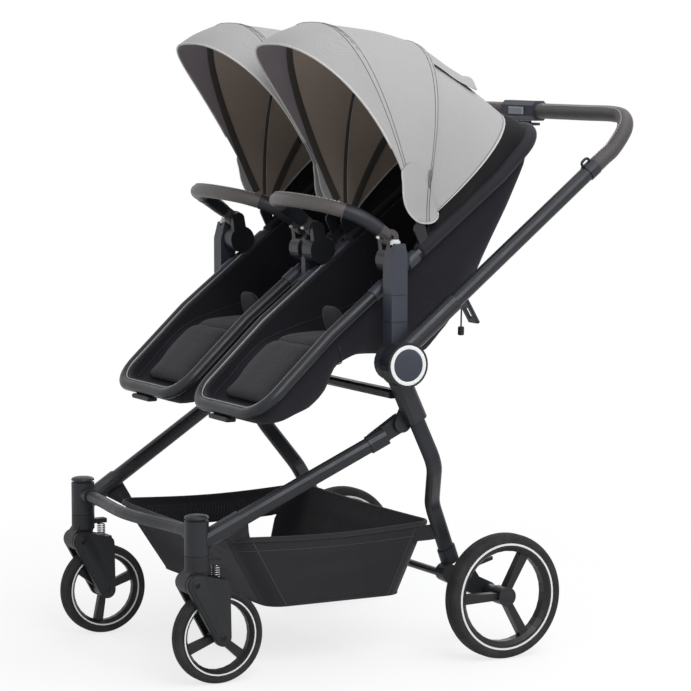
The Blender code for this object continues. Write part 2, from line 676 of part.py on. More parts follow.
def rim(name, centre, radius, width, hub_radius, bore, first_spoke, segments):
    """Moulded wheel: rim band, hub and three spokes."""
    half = width / 2 - 0.002
    depth = 0.0115 if radius > 0.08 else 0.0090
    band = turned(
        [(radius, -half), (radius, half), (radius - 0.004, half), (radius - depth, half - 0.007),
         (radius - depth, -half + 0.007), (radius - 0.004, -half)],
        centre, "X", segments)
    hub_half = half + 0.001
    hub = turned([(bore, -hub_half), (hub_radius, -hub_half), (hub_radius, hub_half),
                  (bore, hub_half)], centre, "X", 20)
    spokes = []
    for i in range(3):
        turn = math.radians(first_spoke + 120 * i)
        out = Vector((0, math.cos(turn), math.sin(turn)))
        across = Vector((0, -math.sin(turn), math.cos(turn)))
        spokes.append(spoke(Vector(centre), out, across, hub_radius - 0.003,
                            radius - depth + 0.002, half - 0.006))
    piece(name, combined(band, [hub, *spokes]), "rim", centre)


def spoke(centre, out, across, start, end, half):
    """A tapered bar from the hub to the rim."""
    bm = bmesh.new()
    rows = []
    for reach, wide, thick in ((start, 0.0060, half), (end, 0.0085, half - 0.002)):
        rows.append([
            bm.verts.new(centre + out * reach + across * a + Vector((b, 0, 0)))
            for a, b in ((wide, thick), (-wide, thick), (-wide, -thick), (wide, -thick))
        ])
    for i in range(4):
        j = (i + 1) % 4
        bm.faces.new((rows[0][i], rows[0][j], rows[1][j], rows[1][i]))
    bm.faces.new(rows[0])
    bm.faces.new(rows[1])
    return bm


def rear_wheels():
    """Two rear wheels on their stub axles."""
    for name, side in SIDES.items():
        centre = (side * REAR_X, REAR_Y, REAR_R)
        tyre(f"rear_tyre_{name}", centre, REAR_R, REAR_W, REAR_RIM_R, 32)
        rim(f"rear_rim_{name}", centre, REAR_RIM_R, REAR_W, 0.0160, AXLE_R + PIN_PLAY, 60, 32)


# Front frame and casters


def head_at(side):
    """The caster's swivel axis at floor level."""
    return Vector((side * CASTER_X, CASTER_Y, 0))


def front_line(side):
    """Where a front tube's axis starts, beside the fold pivot, and ends, in the caster head."""
    return (Vector((side * FRONT_TOP_X, FOLD_Y, FOLD_Z)),
            head_at(side) + Vector((0, 0, TUBE_FOOT_Z)))


def front_tube(name, side):
    """Front tube with its eye on the casting and its sleeve at the caster head."""
    top, foot = front_line(side)
    along = (foot - top).normalized()
    reach = (foot - top).length
    tube = rod(top + along * 0.020, foot, FRONT_TUBE_R)
    upper = rod(top + along * 0.018, top + along * 0.072, FRONT_SLEEVE_R)
    lower = rod(top + along * (reach - 0.084), foot, FRONT_SLEEVE_R)
    face = side * (POST_IN_X - RUN)
    neck = top + along * 0.058
    eye = prism(hull_outline([(FOLD_Y, FOLD_Z, FOLD_EYE_R), (neck.y, neck.z, 0.012)]),
                *sorted((face, face - side * FOLD_EYE_T)))
    head = rod(head_at(side) + Vector((0, 0, 0.15)), head_at(side) + Vector((0, 0, 0.35)),
               HEAD_R + GAP, 32)
    room = rod((face, FOLD_Y, FOLD_Z), (face + side * 0.08, FOLD_Y, FOLD_Z), FOLD_ROOM_R, 28)
    hole = rod((side * (FRONT_TOP_X - 0.08), FOLD_Y, FOLD_Z),
               (side * (FRONT_TOP_X + 0.08), FOLD_Y, FOLD_Z), FOLD_PIN_R + PIN_PLAY)
    piece(name, combined(tube, [upper, lower, eye], [head, room, hole]), "tube",
          (face, FOLD_Y, FOLD_Z))


def caster_head(name, side):
    """Vertical head with the socket of the front bar and the bore for the caster's stem."""
    spot = head_at(side)
    barrel = rod(spot + Vector((0, 0, HEAD_LOW_Z)), spot + Vector((0, 0, HEAD_TOP_Z)), HEAD_R, 28)
    crown = [e for e in barrel.edges if all(v.co.z > HEAD_TOP_Z - 1e-5 for v in e.verts)]
    bmesh.ops.bevel(barrel, geom=crown, offset=0.005, segments=2, affect="EDGES")
    centre = spot + Vector((0, 0, FRONT_BAR_Z))
    socket = rod(centre, centre - Vector((side * BAR_SOCKET_LEN, 0, 0)), BAR_SOCKET_R, 16)
    bore = rod(spot + Vector((0, 0, 0.1)), spot + Vector((0, 0, HEAD_TOP_Z - 0.010)),
               STEM_R + PIN_PLAY)
    piece(name, combined(barrel, [socket], [bore]), "housing",
          spot + Vector((0, 0, HEAD_LOW_Z)))


def front_cross_bar():
    """Bowed bar between the caster heads."""
    reach = CASTER_X - BAR_SOCKET_LEN - GAP
    path = []
    steps = 14
    for i in range(steps + 1):
        x = reach * (2 * i / steps - 1)
        bow = FRONT_BAR_BOW * (1 + math.cos(math.pi * x / reach)) / 2
        path.append(Vector((x, CASTER_Y - bow, FRONT_BAR_Z)))
    piece("front_cross_bar", swept(path, round_section(FRONT_BAR_R, 12), Vector((0, 0, 1))),
          "housing", (0, CASTER_Y, FRONT_BAR_Z))


def caster_swivel(name, side):
    """Collar, stem and knuckle: the part of a caster that turns in its head."""
    spot = head_at(side)
    up = Vector((0, 0, 1))
    collar = rod(spot + up * COLLAR_LOW_Z, spot + up * (HEAD_LOW_Z - RUN), HEAD_R, 28)
    stem = rod(spot + up * (HEAD_LOW_Z - 0.004), spot + up * (HEAD_TOP_Z - 0.013), STEM_R)
    half = FORK_IN - RUN
    outline = hull_outline([(KNUCKLE_Y, KNUCKLE_Z, KNUCKLE_R), (CASTER_Y - 0.006, 0.196, 0.008),
                            (CASTER_Y + 0.006, 0.196, 0.008)])
    knuckle = prism(outline, spot.x - half, spot.x + half)
    lug = box((spot.x - 0.008, CASTER_Y, SPRING_LUG_Z),
              (spot.x + 0.008, BRIDGE_Y + 0.008, SPRING_LUG_Z + 0.008))
    hole = rod((spot.x - 0.03, KNUCKLE_Y, KNUCKLE_Z), (spot.x + 0.03, KNUCKLE_Y, KNUCKLE_Z),
               FORK_PIN_R + PIN_PLAY)
    piece(name, combined(collar, [stem, knuckle, lug], [hole]), "plastic",
          spot + up * HEAD_LOW_Z)


def caster_fork(name, side):
    """Fork that swings on the knuckle: two cheeks, a bridge over the wheel and two pins."""
    x = side * CASTER_X
    outline = hull_outline([(KNUCKLE_Y, KNUCKLE_Z, 0.0175), (BRIDGE_Y + 0.004, 0.1655, 0.0115),
                            (FRONT_Y, FRONT_R, 0.0150)])
    cheeks = []
    for cheek in (-1, 1):
        ends = sorted((x + cheek * FORK_IN, x + cheek * (FORK_IN + FORK_T)))
        cheeks.append(prism(outline, *ends))
    outer = FORK_IN + FORK_T / 2
    bridge = box((x - outer, BRIDGE_Y - 0.010, BRIDGE_LOW_Z),
                 (x + outer, BRIDGE_Y + 0.012, BRIDGE_LOW_Z + BRIDGE_T))
    pivot = rod((x - outer, KNUCKLE_Y, KNUCKLE_Z), (x + outer, KNUCKLE_Y, KNUCKLE_Z), FORK_PIN_R)
    axle = rod((x - outer, FRONT_Y, FRONT_R), (x + outer, FRONT_Y, FRONT_R), FORK_PIN_R)
    piece(name, combined(bridge, [*cheeks, pivot, axle]), "plastic", (x, KNUCKLE_Y, KNUCKLE_Z))


def fork_spring(name, side):
    """Coil spring between the knuckle's lug and the fork's bridge."""
    low = BRIDGE_LOW_Z + BRIDGE_T + GAP + SPRING_WIRE_R
    high = SPRING_LUG_Z - GAP - SPRING_WIRE_R
    pitch = (high - low) / SPRING_CURLS
    print(f"{name}: least gap between turns {1000 * (pitch - 2 * SPRING_WIRE_R):.2f} mm")
    per_turn = 9
    path = []
    for i in range(SPRING_CURLS * per_turn + 1):
        turn = 2 * math.pi * i / per_turn
        path.append(Vector((side * CASTER_X + SPRING_R * math.cos(turn),
                            BRIDGE_Y + SPRING_R * math.sin(turn),
                            low + pitch * i / per_turn)))
    piece(name, swept(path, round_section(SPRING_WIRE_R, 6), Vector((0, 0, 1))), "steel",
          (side * CASTER_X, BRIDGE_Y, SPRING_LUG_Z))


def front_frame():
    """Front tubes, caster heads, their bar and both casters."""
    for name, side in SIDES.items():
        front_tube(f"front_tube_{name}", side)
        caster_head(f"caster_head_{name}", side)
        caster_swivel(f"caster_swivel_{name}", side)
        caster_fork(f"caster_fork_{name}", side)
        fork_spring(f"fork_spring_{name}", side)
        centre = (side * CASTER_X, FRONT_Y, FRONT_R)
        tyre(f"front_tyre_{name}", centre, FRONT_R, FRONT_W, FRONT_RIM_R, 28)
        rim(f"front_rim_{name}", centre, FRONT_RIM_R, FRONT_W, 0.0130, FORK_PIN_R + PIN_PLAY,
            80 if side > 0 else 140, 28)
    front_cross_bar()


# Seats


def rail_length():
    """Length of a seat ring, seen from the side."""
    return sum(length for _, length in RAIL_RUNS)


def on_rail(along):
    """(y, z) of the seat ring's centre line, seen from the side."""
    y, z = RAIL_FRONT_Y, RAIL_FRONT_Z
    for slope, length in RAIL_RUNS:
        step = min(along, length)
        if length == RAIL_RUNS[-1][1] and slope == RAIL_RUNS[-1][0]:
            step = along
        y += step * math.cos(math.radians(slope))
        z += step * math.sin(math.radians(slope))
        along -= step
        if along <= 0:
            break
    return y, z


def rail_half(along, inset):
    """Half width of the seat ring at a distance along it, less an inset."""
    reach = RAIL_CORNER_R
    edge = min(along, rail_length() - along)
    straight = RAIL_HALF - inset
    if edge >= reach:
        return straight
    radius = reach - inset
    drop = min(radius, reach - edge)
    return straight - radius + math.sqrt(radius * radius - drop * drop)


def ring_path(seat_x):
    """The seat ring's centre line: a long round-cornered loop that follows the side profile."""
    quarter = []
    steps = 4
    for i in range(steps + 1):
        turn = math.pi / 2 * i / steps
        quarter.append((RAIL_HALF - RAIL_CORNER_R + RAIL_CORNER_R * math.sin(turn),
                        RAIL_CORNER_R * (1 - math.cos(turn))))
    length = rail_length()
    straight = [(RAIL_HALF, a) for a in (0.12, 0.19, 0.30, 0.41, 0.52, 0.608, 0.64)]
    right = quarter + straight + [(u, length - a) for u, a in reversed(quarter)]
    flat = right + [(-u, a) for u, a in reversed(right)]
    return [Vector((seat_x + u, *on_rail(a))) for u, a in flat]


def seat_ring(name, seat_x):
    """Ring tube with its recline hubs, the bumper lugs and the hood brackets."""
    slope = math.radians(RAIL_RUNS[1][0])
    loop = swept(ring_path(seat_x), round_section(RAIL_R, 9),
                 Vector((0, -math.sin(slope), math.cos(slope))), closed=True)
    joins, cuts = [], []
    for side in (-1, 1):
        def lane(low, high):
            return sorted((seat_x + side * low, seat_x + side * high))
        joins.append(prism(hull_outline([(RECLINE_Y, RECLINE_Z, RECLINE_R)], 24),
                           *lane(HUB_IN, HUB_FACE)))
        joins.append(prism(hull_outline([(RECLINE_Y - 0.002, RECLINE_Z, 0.013),
                                         (BUMPER_Y, BUMPER_Z, 0.012)], 16),
                           *lane(HUB_IN, BUMPER_EYE_IN - RUN)))
        y = CANOPY_Y + 0.012
        base = (y, on_rail_height(y), 0.008)
        joins.append(prism(hull_outline([base, (CANOPY_Y, CANOPY_Z, 0.011)], 16),
                           *lane(BRACKET_IN, BRACKET_IN + BRACKET_T)))
        joins.append(rod((seat_x + side * (BUMPER_EYE_IN - 0.004), BUMPER_Y, BUMPER_Z),
                         (seat_x + side * (BUMPER_EYE_OUT - 0.003), BUMPER_Y, BUMPER_Z), 0.004))
        cuts.append(rod((seat_x + side * (HUB_FACE - RECLINE_PIN_IN - 0.001), RECLINE_Y, RECLINE_Z),
                        (seat_x + side * (HUB_FACE + 0.01), RECLINE_Y, RECLINE_Z),
                        RECLINE_PIN_R + PIN_PLAY))
    piece(name, combined(loop, joins, cuts), "tube", (seat_x, RECLINE_Y, RECLINE_Z))


def on_rail_height(y):
    """Height of the ring's centre line at a place behind its front."""
    low, high = 0.0, rail_length()
    for _ in range(30):
        mid = (low + high) / 2
        if on_rail(mid)[0] < y:
            low = mid
        else:
            high = mid
    return on_rail(low)[1]


# Side profile of the seat fabric: how far along the ring the wall starts, then (y, z) of the
# underside and of the surface that the pad lies on.
TUB_ROWS = (
    (0.0136, (-0.2786, 0.4480), (-0.2776, 0.4530)),
    (0.021, (-0.2765, 0.4340), (-0.2685, 0.4490)),
    (0.034, (-0.2560, 0.4250), (-0.2500, 0.4520)),
    (0.060, (-0.2150, 0.4290), (-0.2180, 0.4800)),
    (0.100, (-0.1720, 0.4440), (-0.1860, 0.5170)),
    (0.145, (-0.1400, 0.4760), (-0.1580, 0.5380)),
    (0.190, (-0.1200, 0.5150), (-0.1230, 0.5440)),
    (0.250, (-0.0700, 0.5320), (-0.0680, 0.5440)),
    (0.320, (-0.0050, 0.5280), (-0.0060, 0.5400)),
    (0.390, (0.0600, 0.5320), (0.0500, 0.5420)),
    (0.445, (0.0990, 0.5660), (0.0880, 0.5740)),
    (0.510, (0.1380, 0.6280), (0.1300, 0.6340)),
    (0.570, (0.1760, 0.7000), (0.1680, 0.7050)),
    (0.625, (0.2080, 0.7700), (0.2000, 0.7740)),
    (0.675, (0.2390, 0.8400), (0.2310, 0.8430)),
    (0.698, (0.2500, 0.8830), (0.2430, 0.8840)),
    (0.7050, (0.2480, 0.8950), (0.2450, 0.8920)),
)
TUB_COLUMNS = 12
TUB_CLEAR = 0.0030  # ring tube to the fabric's edge


def tub_grid(seat_x, inner):
    """The seat fabric's outer or inner face."""
    inset = RAIL_R + TUB_CLEAR + (FABRIC_T if inner else 0)
    grid = []
    for along, under, over in TUB_ROWS:
        rim_y, rim_z = on_rail(along)
        low_y, low_z = over if inner else under
        half = rail_half(along, inset)
        row = []
        for j in range(TUB_COLUMNS + 1):
            u, depth = tub_section(j, half)
            row.append(Vector((seat_x + u, rim_y + depth * (low_y - rim_y),
                               rim_z + depth * (low_z - rim_z))))
        grid.append(row)
    return grid


def tub_section(column, half):
    """(across, depth from 0 to 1) of one column of a seat's cross-section."""
    turn = math.pi * column / TUB_COLUMNS
    u = math.copysign(abs(math.cos(turn)) ** (2 / TUB_ROUND), math.cos(turn)) * half
    depth = abs(math.sin(turn)) ** (2 / TUB_ROUND)
    return u, depth


def tub_depth(u, half):
    """Depth of the faceted cross-section at a distance from its middle."""
    rows = [tub_section(j, half) for j in range(TUB_COLUMNS // 2 + 1)]
    for (wide, high), (slim, low) in zip(rows, rows[1:]):
        if slim <= abs(u) <= wide:
            return high + (low - high) * (wide - abs(u)) / (wide - slim)
    return 1.0


def seat_pad(name, seat_x):
    """Crowned cushion over the calf rest and the seat, with drawn-in sides."""
    rows = TUB_ROWS[2:10]
    fine = []
    for one, two in zip(rows, rows[1:]):
        for t in (0.0, 0.5):
            fine.append(blend_row(one, two, t))
    fine.append(rows[-1])
    under, over = [], []
    count = len(fine) - 1
    columns = 8
    for i, (along, _, (floor_y, floor_z)) in enumerate(fine):
        s = 2 * i / count - 1
        rim_y, rim_z = on_rail(along)
        half = rail_half(along, RAIL_R + TUB_CLEAR + FABRIC_T)
        away = Vector((0, rim_y - floor_y, rim_z - floor_z)).normalized()
        low_row, high_row = [], []
        for j in range(columns + 1):
            v = 2 * j / columns - 1
            u = v * PAD_HALF * (1 - 0.05 * s ** 4)
            depth = tub_depth(u, half)
            spot = Vector((seat_x + u, rim_y + depth * (floor_y - rim_y),
                           rim_z + depth * (floor_z - rim_z)))
            crown = 0.25 + 0.75 * (1 - v ** 4) * (1 - s ** 6)
            low_row.append(spot + away * 0.0010)
            high_row.append(spot + away * (0.0010 + PAD_T * crown))
        under.append(low_row)
        over.append(high_row)
    piece(name, sheet_solid(over, under), "pad_charcoal", (seat_x, 0, fine[0][2][1]))


def blend_row(one, two, t):
    """A row of the side profile between two others."""
    def mix(a, b):
        return a + (b - a) * t
    return (mix(one[0], two[0]), tuple(map(mix, one[1], two[1])), tuple(map(mix, one[2], two[2])))


def hood_rib(degrees):
    """Radius and squareness of the hood's arch at an angle, with the cloth taut between ribs."""
    for (low, one, square), (high, two, squarer) in zip(HOOD_RIBS, HOOD_RIBS[1:]):
        if degrees <= high or high == HOOD_RIBS[-1][0]:
            t = min((degrees - low) / (high - low), 1.0)
            wide = math.radians(high - low) / 2
            taut = math.cos(wide) / math.cos(wide * (2 * t - 1))
            return (one + (two - one) * t) * taut, square + (squarer - square) * t


def hood_point(seat_x, turn, degrees, thin):
    """A point of the hood: turn goes round the arch, degrees about the hinge."""
    radius, square = hood_rib(degrees)
    rise = max(math.sin(turn), 0.0)
    u = math.copysign(abs(math.cos(turn)) ** (2 / square), math.cos(turn))
    reach = rise ** (2 / square)
    rho = reach * (radius - thin)
    span = (reach * radius / HOOD_RIBS[1][1]) ** (HOOD_RIBS[1][2] / 2)
    swell = HOOD_SWELL * math.sqrt(max(span - HOOD_EYE, 0.0))
    angle = math.radians(degrees)
    return Vector((seat_x + u * (BRACKET_IN - RUN - thin + swell),
                   CANOPY_Y + rho * math.cos(angle), CANOPY_Z + rho * math.sin(angle)))


def hood_turns(lean, half):
    """Turns of a row's points. The first lie at the same distances from the hinge in every row."""
    turns = []
    for column in range(half + 1):
        turn = 0.5
        for _ in range(30):
            radius, square = hood_rib(lean(turn))
            near = [math.asin((reach / radius) ** (square / 2)) for reach in HOOD_NEAR]
            share = (column - len(near) + 1) / (half - len(near) + 1)
            turn = near[-1] + (math.pi / 2 - near[-1]) * share
            if column < len(near):
                turn = near[column]
        turns.append(turn)
    return turns + [math.pi - turn for turn in reversed(turns[:-1])]



def hood(name, seat_x, start, end, visor, step):
    """One section of a hood: an arched sheet between two angles about the hood's hinge."""
    rows, half = 7, 10
    seam = HOOD_RIBS[1][0]
    outer, inner = [], []
    for i in range(rows + 1):
        def lean(turn, i=i):
            last = end + visor * max(math.sin(turn), 0.0) ** 1.25
            if end > seam + HOOD_LAP:
                return seam + (last - seam) * (i - 1) / (rows - 1) if i else start
            return start + (seam - start) * i / (rows - 1) if i < rows else end

        for grid, thin in ((outer, step), (inner, step + CANOPY_T)):
            grid.append([hood_point(seat_x, turn, lean(turn), thin)
                         for turn in hood_turns(lean, half)])
    piece(name, sheet_solid(outer, inner), "canopy_grey", (seat_x, CANOPY_Y, CANOPY_Z))


def bumper_bar(name, seat_x):
    """Bar across the lap, hinged on the recline hubs."""
    lane = (BUMPER_EYE_IN + BUMPER_EYE_OUT) / 2
    half = [
        Vector((lane, BUMPER_Y - 0.004, BUMPER_Z + 0.003)),
        Vector((lane - 0.001, BUMPER_Y - 0.029, BUMPER_Z + 0.021)),
        Vector((lane - 0.010, BUMPER_Y - 0.059, BUMPER_Z + 0.039)),
        Vector((lane - 0.040, BUMPER_Y - 0.092, BUMPER_Z + 0.052)),
        Vector((lane - 0.085, BUMPER_Y - 0.112, BUMPER_Z + 0.058)),
        Vector((0, BUMPER_Y - 0.119, BUMPER_Z + 0.060)),
    ]
    left = smooth_through(half, 2)
    path = left[:-1] + [Vector((-p.x, p.y, p.z)) for p in reversed(left)]
    path = [p + Vector((seat_x, 0, 0)) for p in path]
    bar = swept(path, round_section(BUMPER_R, 10), Vector((0, -0.5, 0.9)).normalized())
    eyes, holes, faces = [], [], []
    for side in (-1, 1):
        low, high = sorted((seat_x + side * BUMPER_EYE_IN, seat_x + side * BUMPER_EYE_OUT))
        eyes.append(prism(hull_outline([(BUMPER_Y, BUMPER_Z, BUMPER_EYE_R)], 18), low, high))
        holes.append(rod((low - 0.02, BUMPER_Y, BUMPER_Z), (high + 0.02, BUMPER_Y, BUMPER_Z),
                         0.004 + PIN_PLAY))
        inner = seat_x + side * BUMPER_EYE_IN
        ends = sorted((inner, inner - side * 0.03))
        faces.append(box((ends[0], BUMPER_Y - 0.022, BUMPER_Z - 0.03),
                         (ends[1], BUMPER_Y + 0.03, BUMPER_Z + 0.03)))
    piece(name, combined(bar, eyes, [*holes, *faces]), "leatherette",
          (seat_x, BUMPER_Y, BUMPER_Z))


def seat_levers(name, seat_x):
    """Lever under the calf rest and pull lever on the back of the seat."""
    size = LEGREST_LEVER
    y, z = on_rail(0.0)
    top = z - RAIL_R - GAP
    plate = box((seat_x - size.x / 2, y + 0.008 - size.y, top - size.z),
                (seat_x + size.x / 2, y + 0.008, top), 0.002)
    piece(f"legrest_lever_{name}", plate, "plastic", (seat_x, y, top))
    y, z = RECLINE_LEVER_Y, RECLINE_LEVER_Z
    down = Vector((0, 0.50, -0.866)).normalized()
    outline = box_section(RECLINE_LEVER_W, RECLINE_LEVER_T, 0.002)
    start = Vector((seat_x, y, z))
    blade = swept([start, start + down * RECLINE_LEVER_LEN], outline,
                  Vector((0, 0.866, 0.50)).normalized())
    across = RECLINE_LEVER_W / 2 - 0.009
    one = start + down * (RECLINE_LEVER_LEN - 0.032)
    two = start + down * (RECLINE_LEVER_LEN - 0.010)
    window = swept([one, two], box_section(2 * across, 0.03, 0.002),
                   Vector((0, 0.866, 0.50)).normalized())
    piece(f"recline_lever_{name}", combined(blade, [], [window]), "housing", start)


def seat(name, side):
    """One seat with its ring, fabric, pad, bumper bar, hood and levers."""
    x = side * SEAT_X
    seat_ring(f"seat_ring_{name}", x)
    shell = sheet_solid(tub_grid(x, False), tub_grid(x, True))
    piece(f"seat_shell_{name}", shell, "fabric_black", (x, RECLINE_Y, RECLINE_Z))
    seat_pad(f"seat_pad_{name}", x)
    hood(f"canopy_rear_{name}", x, HOOD_RIBS[0][0], HOOD_RIBS[1][0] + HOOD_LAP, 0.0,
         CANOPY_T + HOOD_STEP)
    hood(f"canopy_front_{name}", x, HOOD_RIBS[1][0] - HOOD_LAP, HOOD_SIDE, HOOD_VISOR, 0.0)
    bumper_bar(f"bumper_bar_{name}", x)
    seat_levers(name, x)


# Basket and cord


def basket():
    """Fabric tub under the seats, open at the top."""
    rows = []
    steps = 4
    for i in range(steps + 1):
        t = i / steps
        rows.append([a + (b - a) * t for a, b in zip(BASKET_TOP, BASKET_LOW)])
    bm = bmesh.new()
    shells = []
    for inset in (0.0, BASKET_T):
        rings = []
        for half, front, back, height in rows:
            rings.append(basket_ring(bm, half - inset, front + inset, back - inset, height))
        shells.append(rings)
    for v in shells[1][-1]:
        v.co.z += BASKET_T
    for rings in shells:
        for one, two in zip(rings, rings[1:]):
            for i in range(len(one)):
                j = (i + 1) % len(one)
                bm.faces.new((one[i], one[j], two[j], two[i]))
        bm.faces.new(rings[-1])
    outer, inner = shells[0][0], shells[1][0]
    for i in range(len(outer)):
        j = (i + 1) % len(outer)
        bm.faces.new((outer[i], outer[j], inner[j], inner[i]))
    window = prism(bent_outline(BASKET_WINDOW, 0.014), -BASKET_TOP[0] - 0.02, -BASKET_LOW[0] + 0.03)
    straps, cuts = [], [window]
    half, front, back, height = BASKET_TOP
    for side in SIDES.values():
        top, foot = front_line(side)
        cuts.append(rod(top, foot, FRONT_TUBE_R + GAP, 20))
        cuts.append(swept(leg_path(side), oval_section(LEG_W + 2 * GAP, LEG_T + 2 * GAP),
                          Vector((1, 0, 0))))
        straps.append(strap_up(side, front + 0.036))
        straps.append(strap(side, half - 0.003, back - 0.022, (height - 0.030, height - 0.002),
                            reach=0.024))
    piece("basket", combined(bm, straps, cuts), "mesh_black", (0, 0, height))


def strap(side, x, y, heights, reach=0.0):
    """A strap that ties the basket to a tube: upright, or reaching back from the rim."""
    ends = sorted((side * (x - 0.004), side * (x + 0.002)))
    return box((ends[0], y - 0.010, heights[0]), (ends[1], y + 0.010 + reach, heights[1]))


def strap_up(side, y):
    """A strap from the basket's rim to the underside of the front tube above it."""
    top, foot = front_line(side)
    tube = foot + (top - foot) * ((y - foot.y) / (top.y - foot.y))
    half, _, _, height = BASKET_TOP
    path = [Vector((side * (half - 0.003), y, height - 0.014)),
            Vector((side * (half - 0.001), y, height)),
            Vector((tube.x, y, tube.z - FRONT_TUBE_R / 2))]
    return swept(path, box_section(0.020, 0.003, 0.0005), Vector((side * 0.89, 0, -0.45)))


def bent_outline(corners, cut):
    """A polygon of (y, z) points with each corner cut off."""
    points = []
    for before, corner, after in zip(corners[-1:] + corners[:-1], corners, corners[1:] + corners[:1]):
        spot = Vector(corner)
        points.append(tuple(spot + (Vector(before) - spot).normalized() * cut))
        points.append(tuple(spot + (Vector(after) - spot).normalized() * cut))
    return points


def basket_ring(bm, half, front, back, height):
    """One level of the basket: a rectangle with round corners."""
    radius = 0.030
    verts = []
    for sx, y, turn0 in ((1, back, 0), (-1, back, 90), (-1, front, 180), (1, front, 270)):
        cx = sx * (half - radius)
        cy = y - radius if y == back else y + radius
        for k in range(4):
            turn = math.radians(turn0 + 30 * k)
            verts.append(bm.verts.new((cx + radius * math.cos(turn),
                                       cy + radius * math.sin(turn), height)))
    return verts


# Where the cord goes, from the seat back down to its toggle: hand-set points in metres.
CORD_POINTS = (
    (0.2201, 0.12716, 0.6138), (0.2212, 0.1308, 0.6112), (0.2219, 0.1336, 0.6072),
    (0.2220, 0.1346, 0.6015), (0.2218, 0.1346, 0.5930), (0.2216, 0.1345, 0.5830),
    (0.2214, 0.1344, 0.5720),
)


def draw_cord():
    """Cord that hangs from the back of the left seat, with its toggle."""
    points = smooth_through([Vector(p) for p in CORD_POINTS], 2)
    curve = bpy.data.curves.new("drawcord", "CURVE")
    curve.dimensions = "3D"
    curve.bevel_depth = CORD_R
    curve.bevel_resolution = 2
    curve.use_fill_caps = True
    line = curve.splines.new("POLY")
    line.points.add(len(points) - 1)
    for spot, point in zip(line.points, points):
        spot.co = (*point, 1)
    curve.materials.append(finish_of("cord"))
    made = bpy.data.objects.new("drawcord", curve)
    made.location = ORIGIN_SHIFT
    bpy.context.scene.collection.objects.link(made)
    end = points[-1]
    down = (points[-1] - points[-2]).normalized()
    start = end + down * 0.0003
    shape = rod(start, start + down * TOGGLE_LEN, TOGGLE_R, 14)
    rim = [e for e in shape.edges if len({f.calc_area() > 6e-5 for f in e.link_faces}) > 1]
    bmesh.ops.bevel(shape, geom=rim, offset=0.0012, segments=1, affect="EDGES")
    piece("cord_toggle", shape, "plastic", start)


def build():
    """Makes the whole stroller."""
    clear_scene()
    rear_frame()
    rear_wheels()
    front_frame()
    push_handle()
    for name, side in SIDES.items():
        seat(name, side)
    basket()
    draw_cord()


build()
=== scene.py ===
# %% [markdown]
# # A double stroller: finishes and soft goods
# This script takes the imported metal and plastic frame of a side-by-side stroller and gives it
# its looks. The hard parts keep their shape and get materials and softened edges. The soft
# parts are built again here as cloth: tubs, pads, hoods, basket and cord.
# The frame is loaded first.

# %% Load the frame
import bmesh
import bpy
import math
import numpy as np
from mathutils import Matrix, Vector
from mathutils.bvhtree import BVHTree
from mathutils.geometry import convex_hull_2d


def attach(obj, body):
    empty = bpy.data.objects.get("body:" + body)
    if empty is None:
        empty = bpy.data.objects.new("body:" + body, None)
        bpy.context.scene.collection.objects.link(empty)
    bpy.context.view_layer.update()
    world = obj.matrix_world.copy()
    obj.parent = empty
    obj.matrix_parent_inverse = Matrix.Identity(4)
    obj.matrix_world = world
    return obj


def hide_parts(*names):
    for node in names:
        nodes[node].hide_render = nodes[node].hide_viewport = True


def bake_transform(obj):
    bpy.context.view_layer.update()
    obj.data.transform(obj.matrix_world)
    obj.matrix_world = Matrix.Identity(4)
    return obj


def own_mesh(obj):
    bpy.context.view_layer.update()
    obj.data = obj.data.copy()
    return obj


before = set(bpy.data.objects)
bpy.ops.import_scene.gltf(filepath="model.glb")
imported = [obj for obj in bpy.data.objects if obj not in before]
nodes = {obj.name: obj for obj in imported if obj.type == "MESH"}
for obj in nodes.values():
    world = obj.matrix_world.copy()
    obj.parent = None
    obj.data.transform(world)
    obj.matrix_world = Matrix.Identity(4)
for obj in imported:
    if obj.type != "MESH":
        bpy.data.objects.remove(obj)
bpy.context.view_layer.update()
BACK = 0.00425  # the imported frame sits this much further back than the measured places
SIDES = {"left": 1, "right": -1}

# %% [markdown]
# ## Camera
# The photograph was taken from the front left, a little above the seats, with a long lens.
# The eye was worked out from the wheels and the parallel tubes, so the render lines up with it.

# %% Place the camera
def add_camera():
    """The camera that sees the stroller as the photograph does."""
    data = bpy.data.cameras.new("camera")
    data.lens, data.sensor_width, data.clip_end = 149.84, 36.0, 60.0
    camera = bpy.data.objects.new("camera", data)
    bpy.context.scene.collection.objects.link(camera)
    eye, target = Vector((4.4693, -2.3940, 1.0672)), Vector((0, 0.0318, 0.5233))
    camera.location = eye
    camera.rotation_euler = (target - eye).to_track_quat("-Z", "Y").to_euler()
    bpy.context.scene.camera = camera
    return camera


camera = add_camera()
print("camera at", tuple(round(c, 3) for c in camera.location))

# %% [markdown]
# ## Helpers for meshes
# Every new piece is made the same way: a mesh from rows of points, a material, a smooth
# surface, and a ride on the body that carries it. These few functions keep the later cells short.

# %% Mesh helpers
def at(x, y, z):
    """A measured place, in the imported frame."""
    return Vector((x, y + BACK, z))


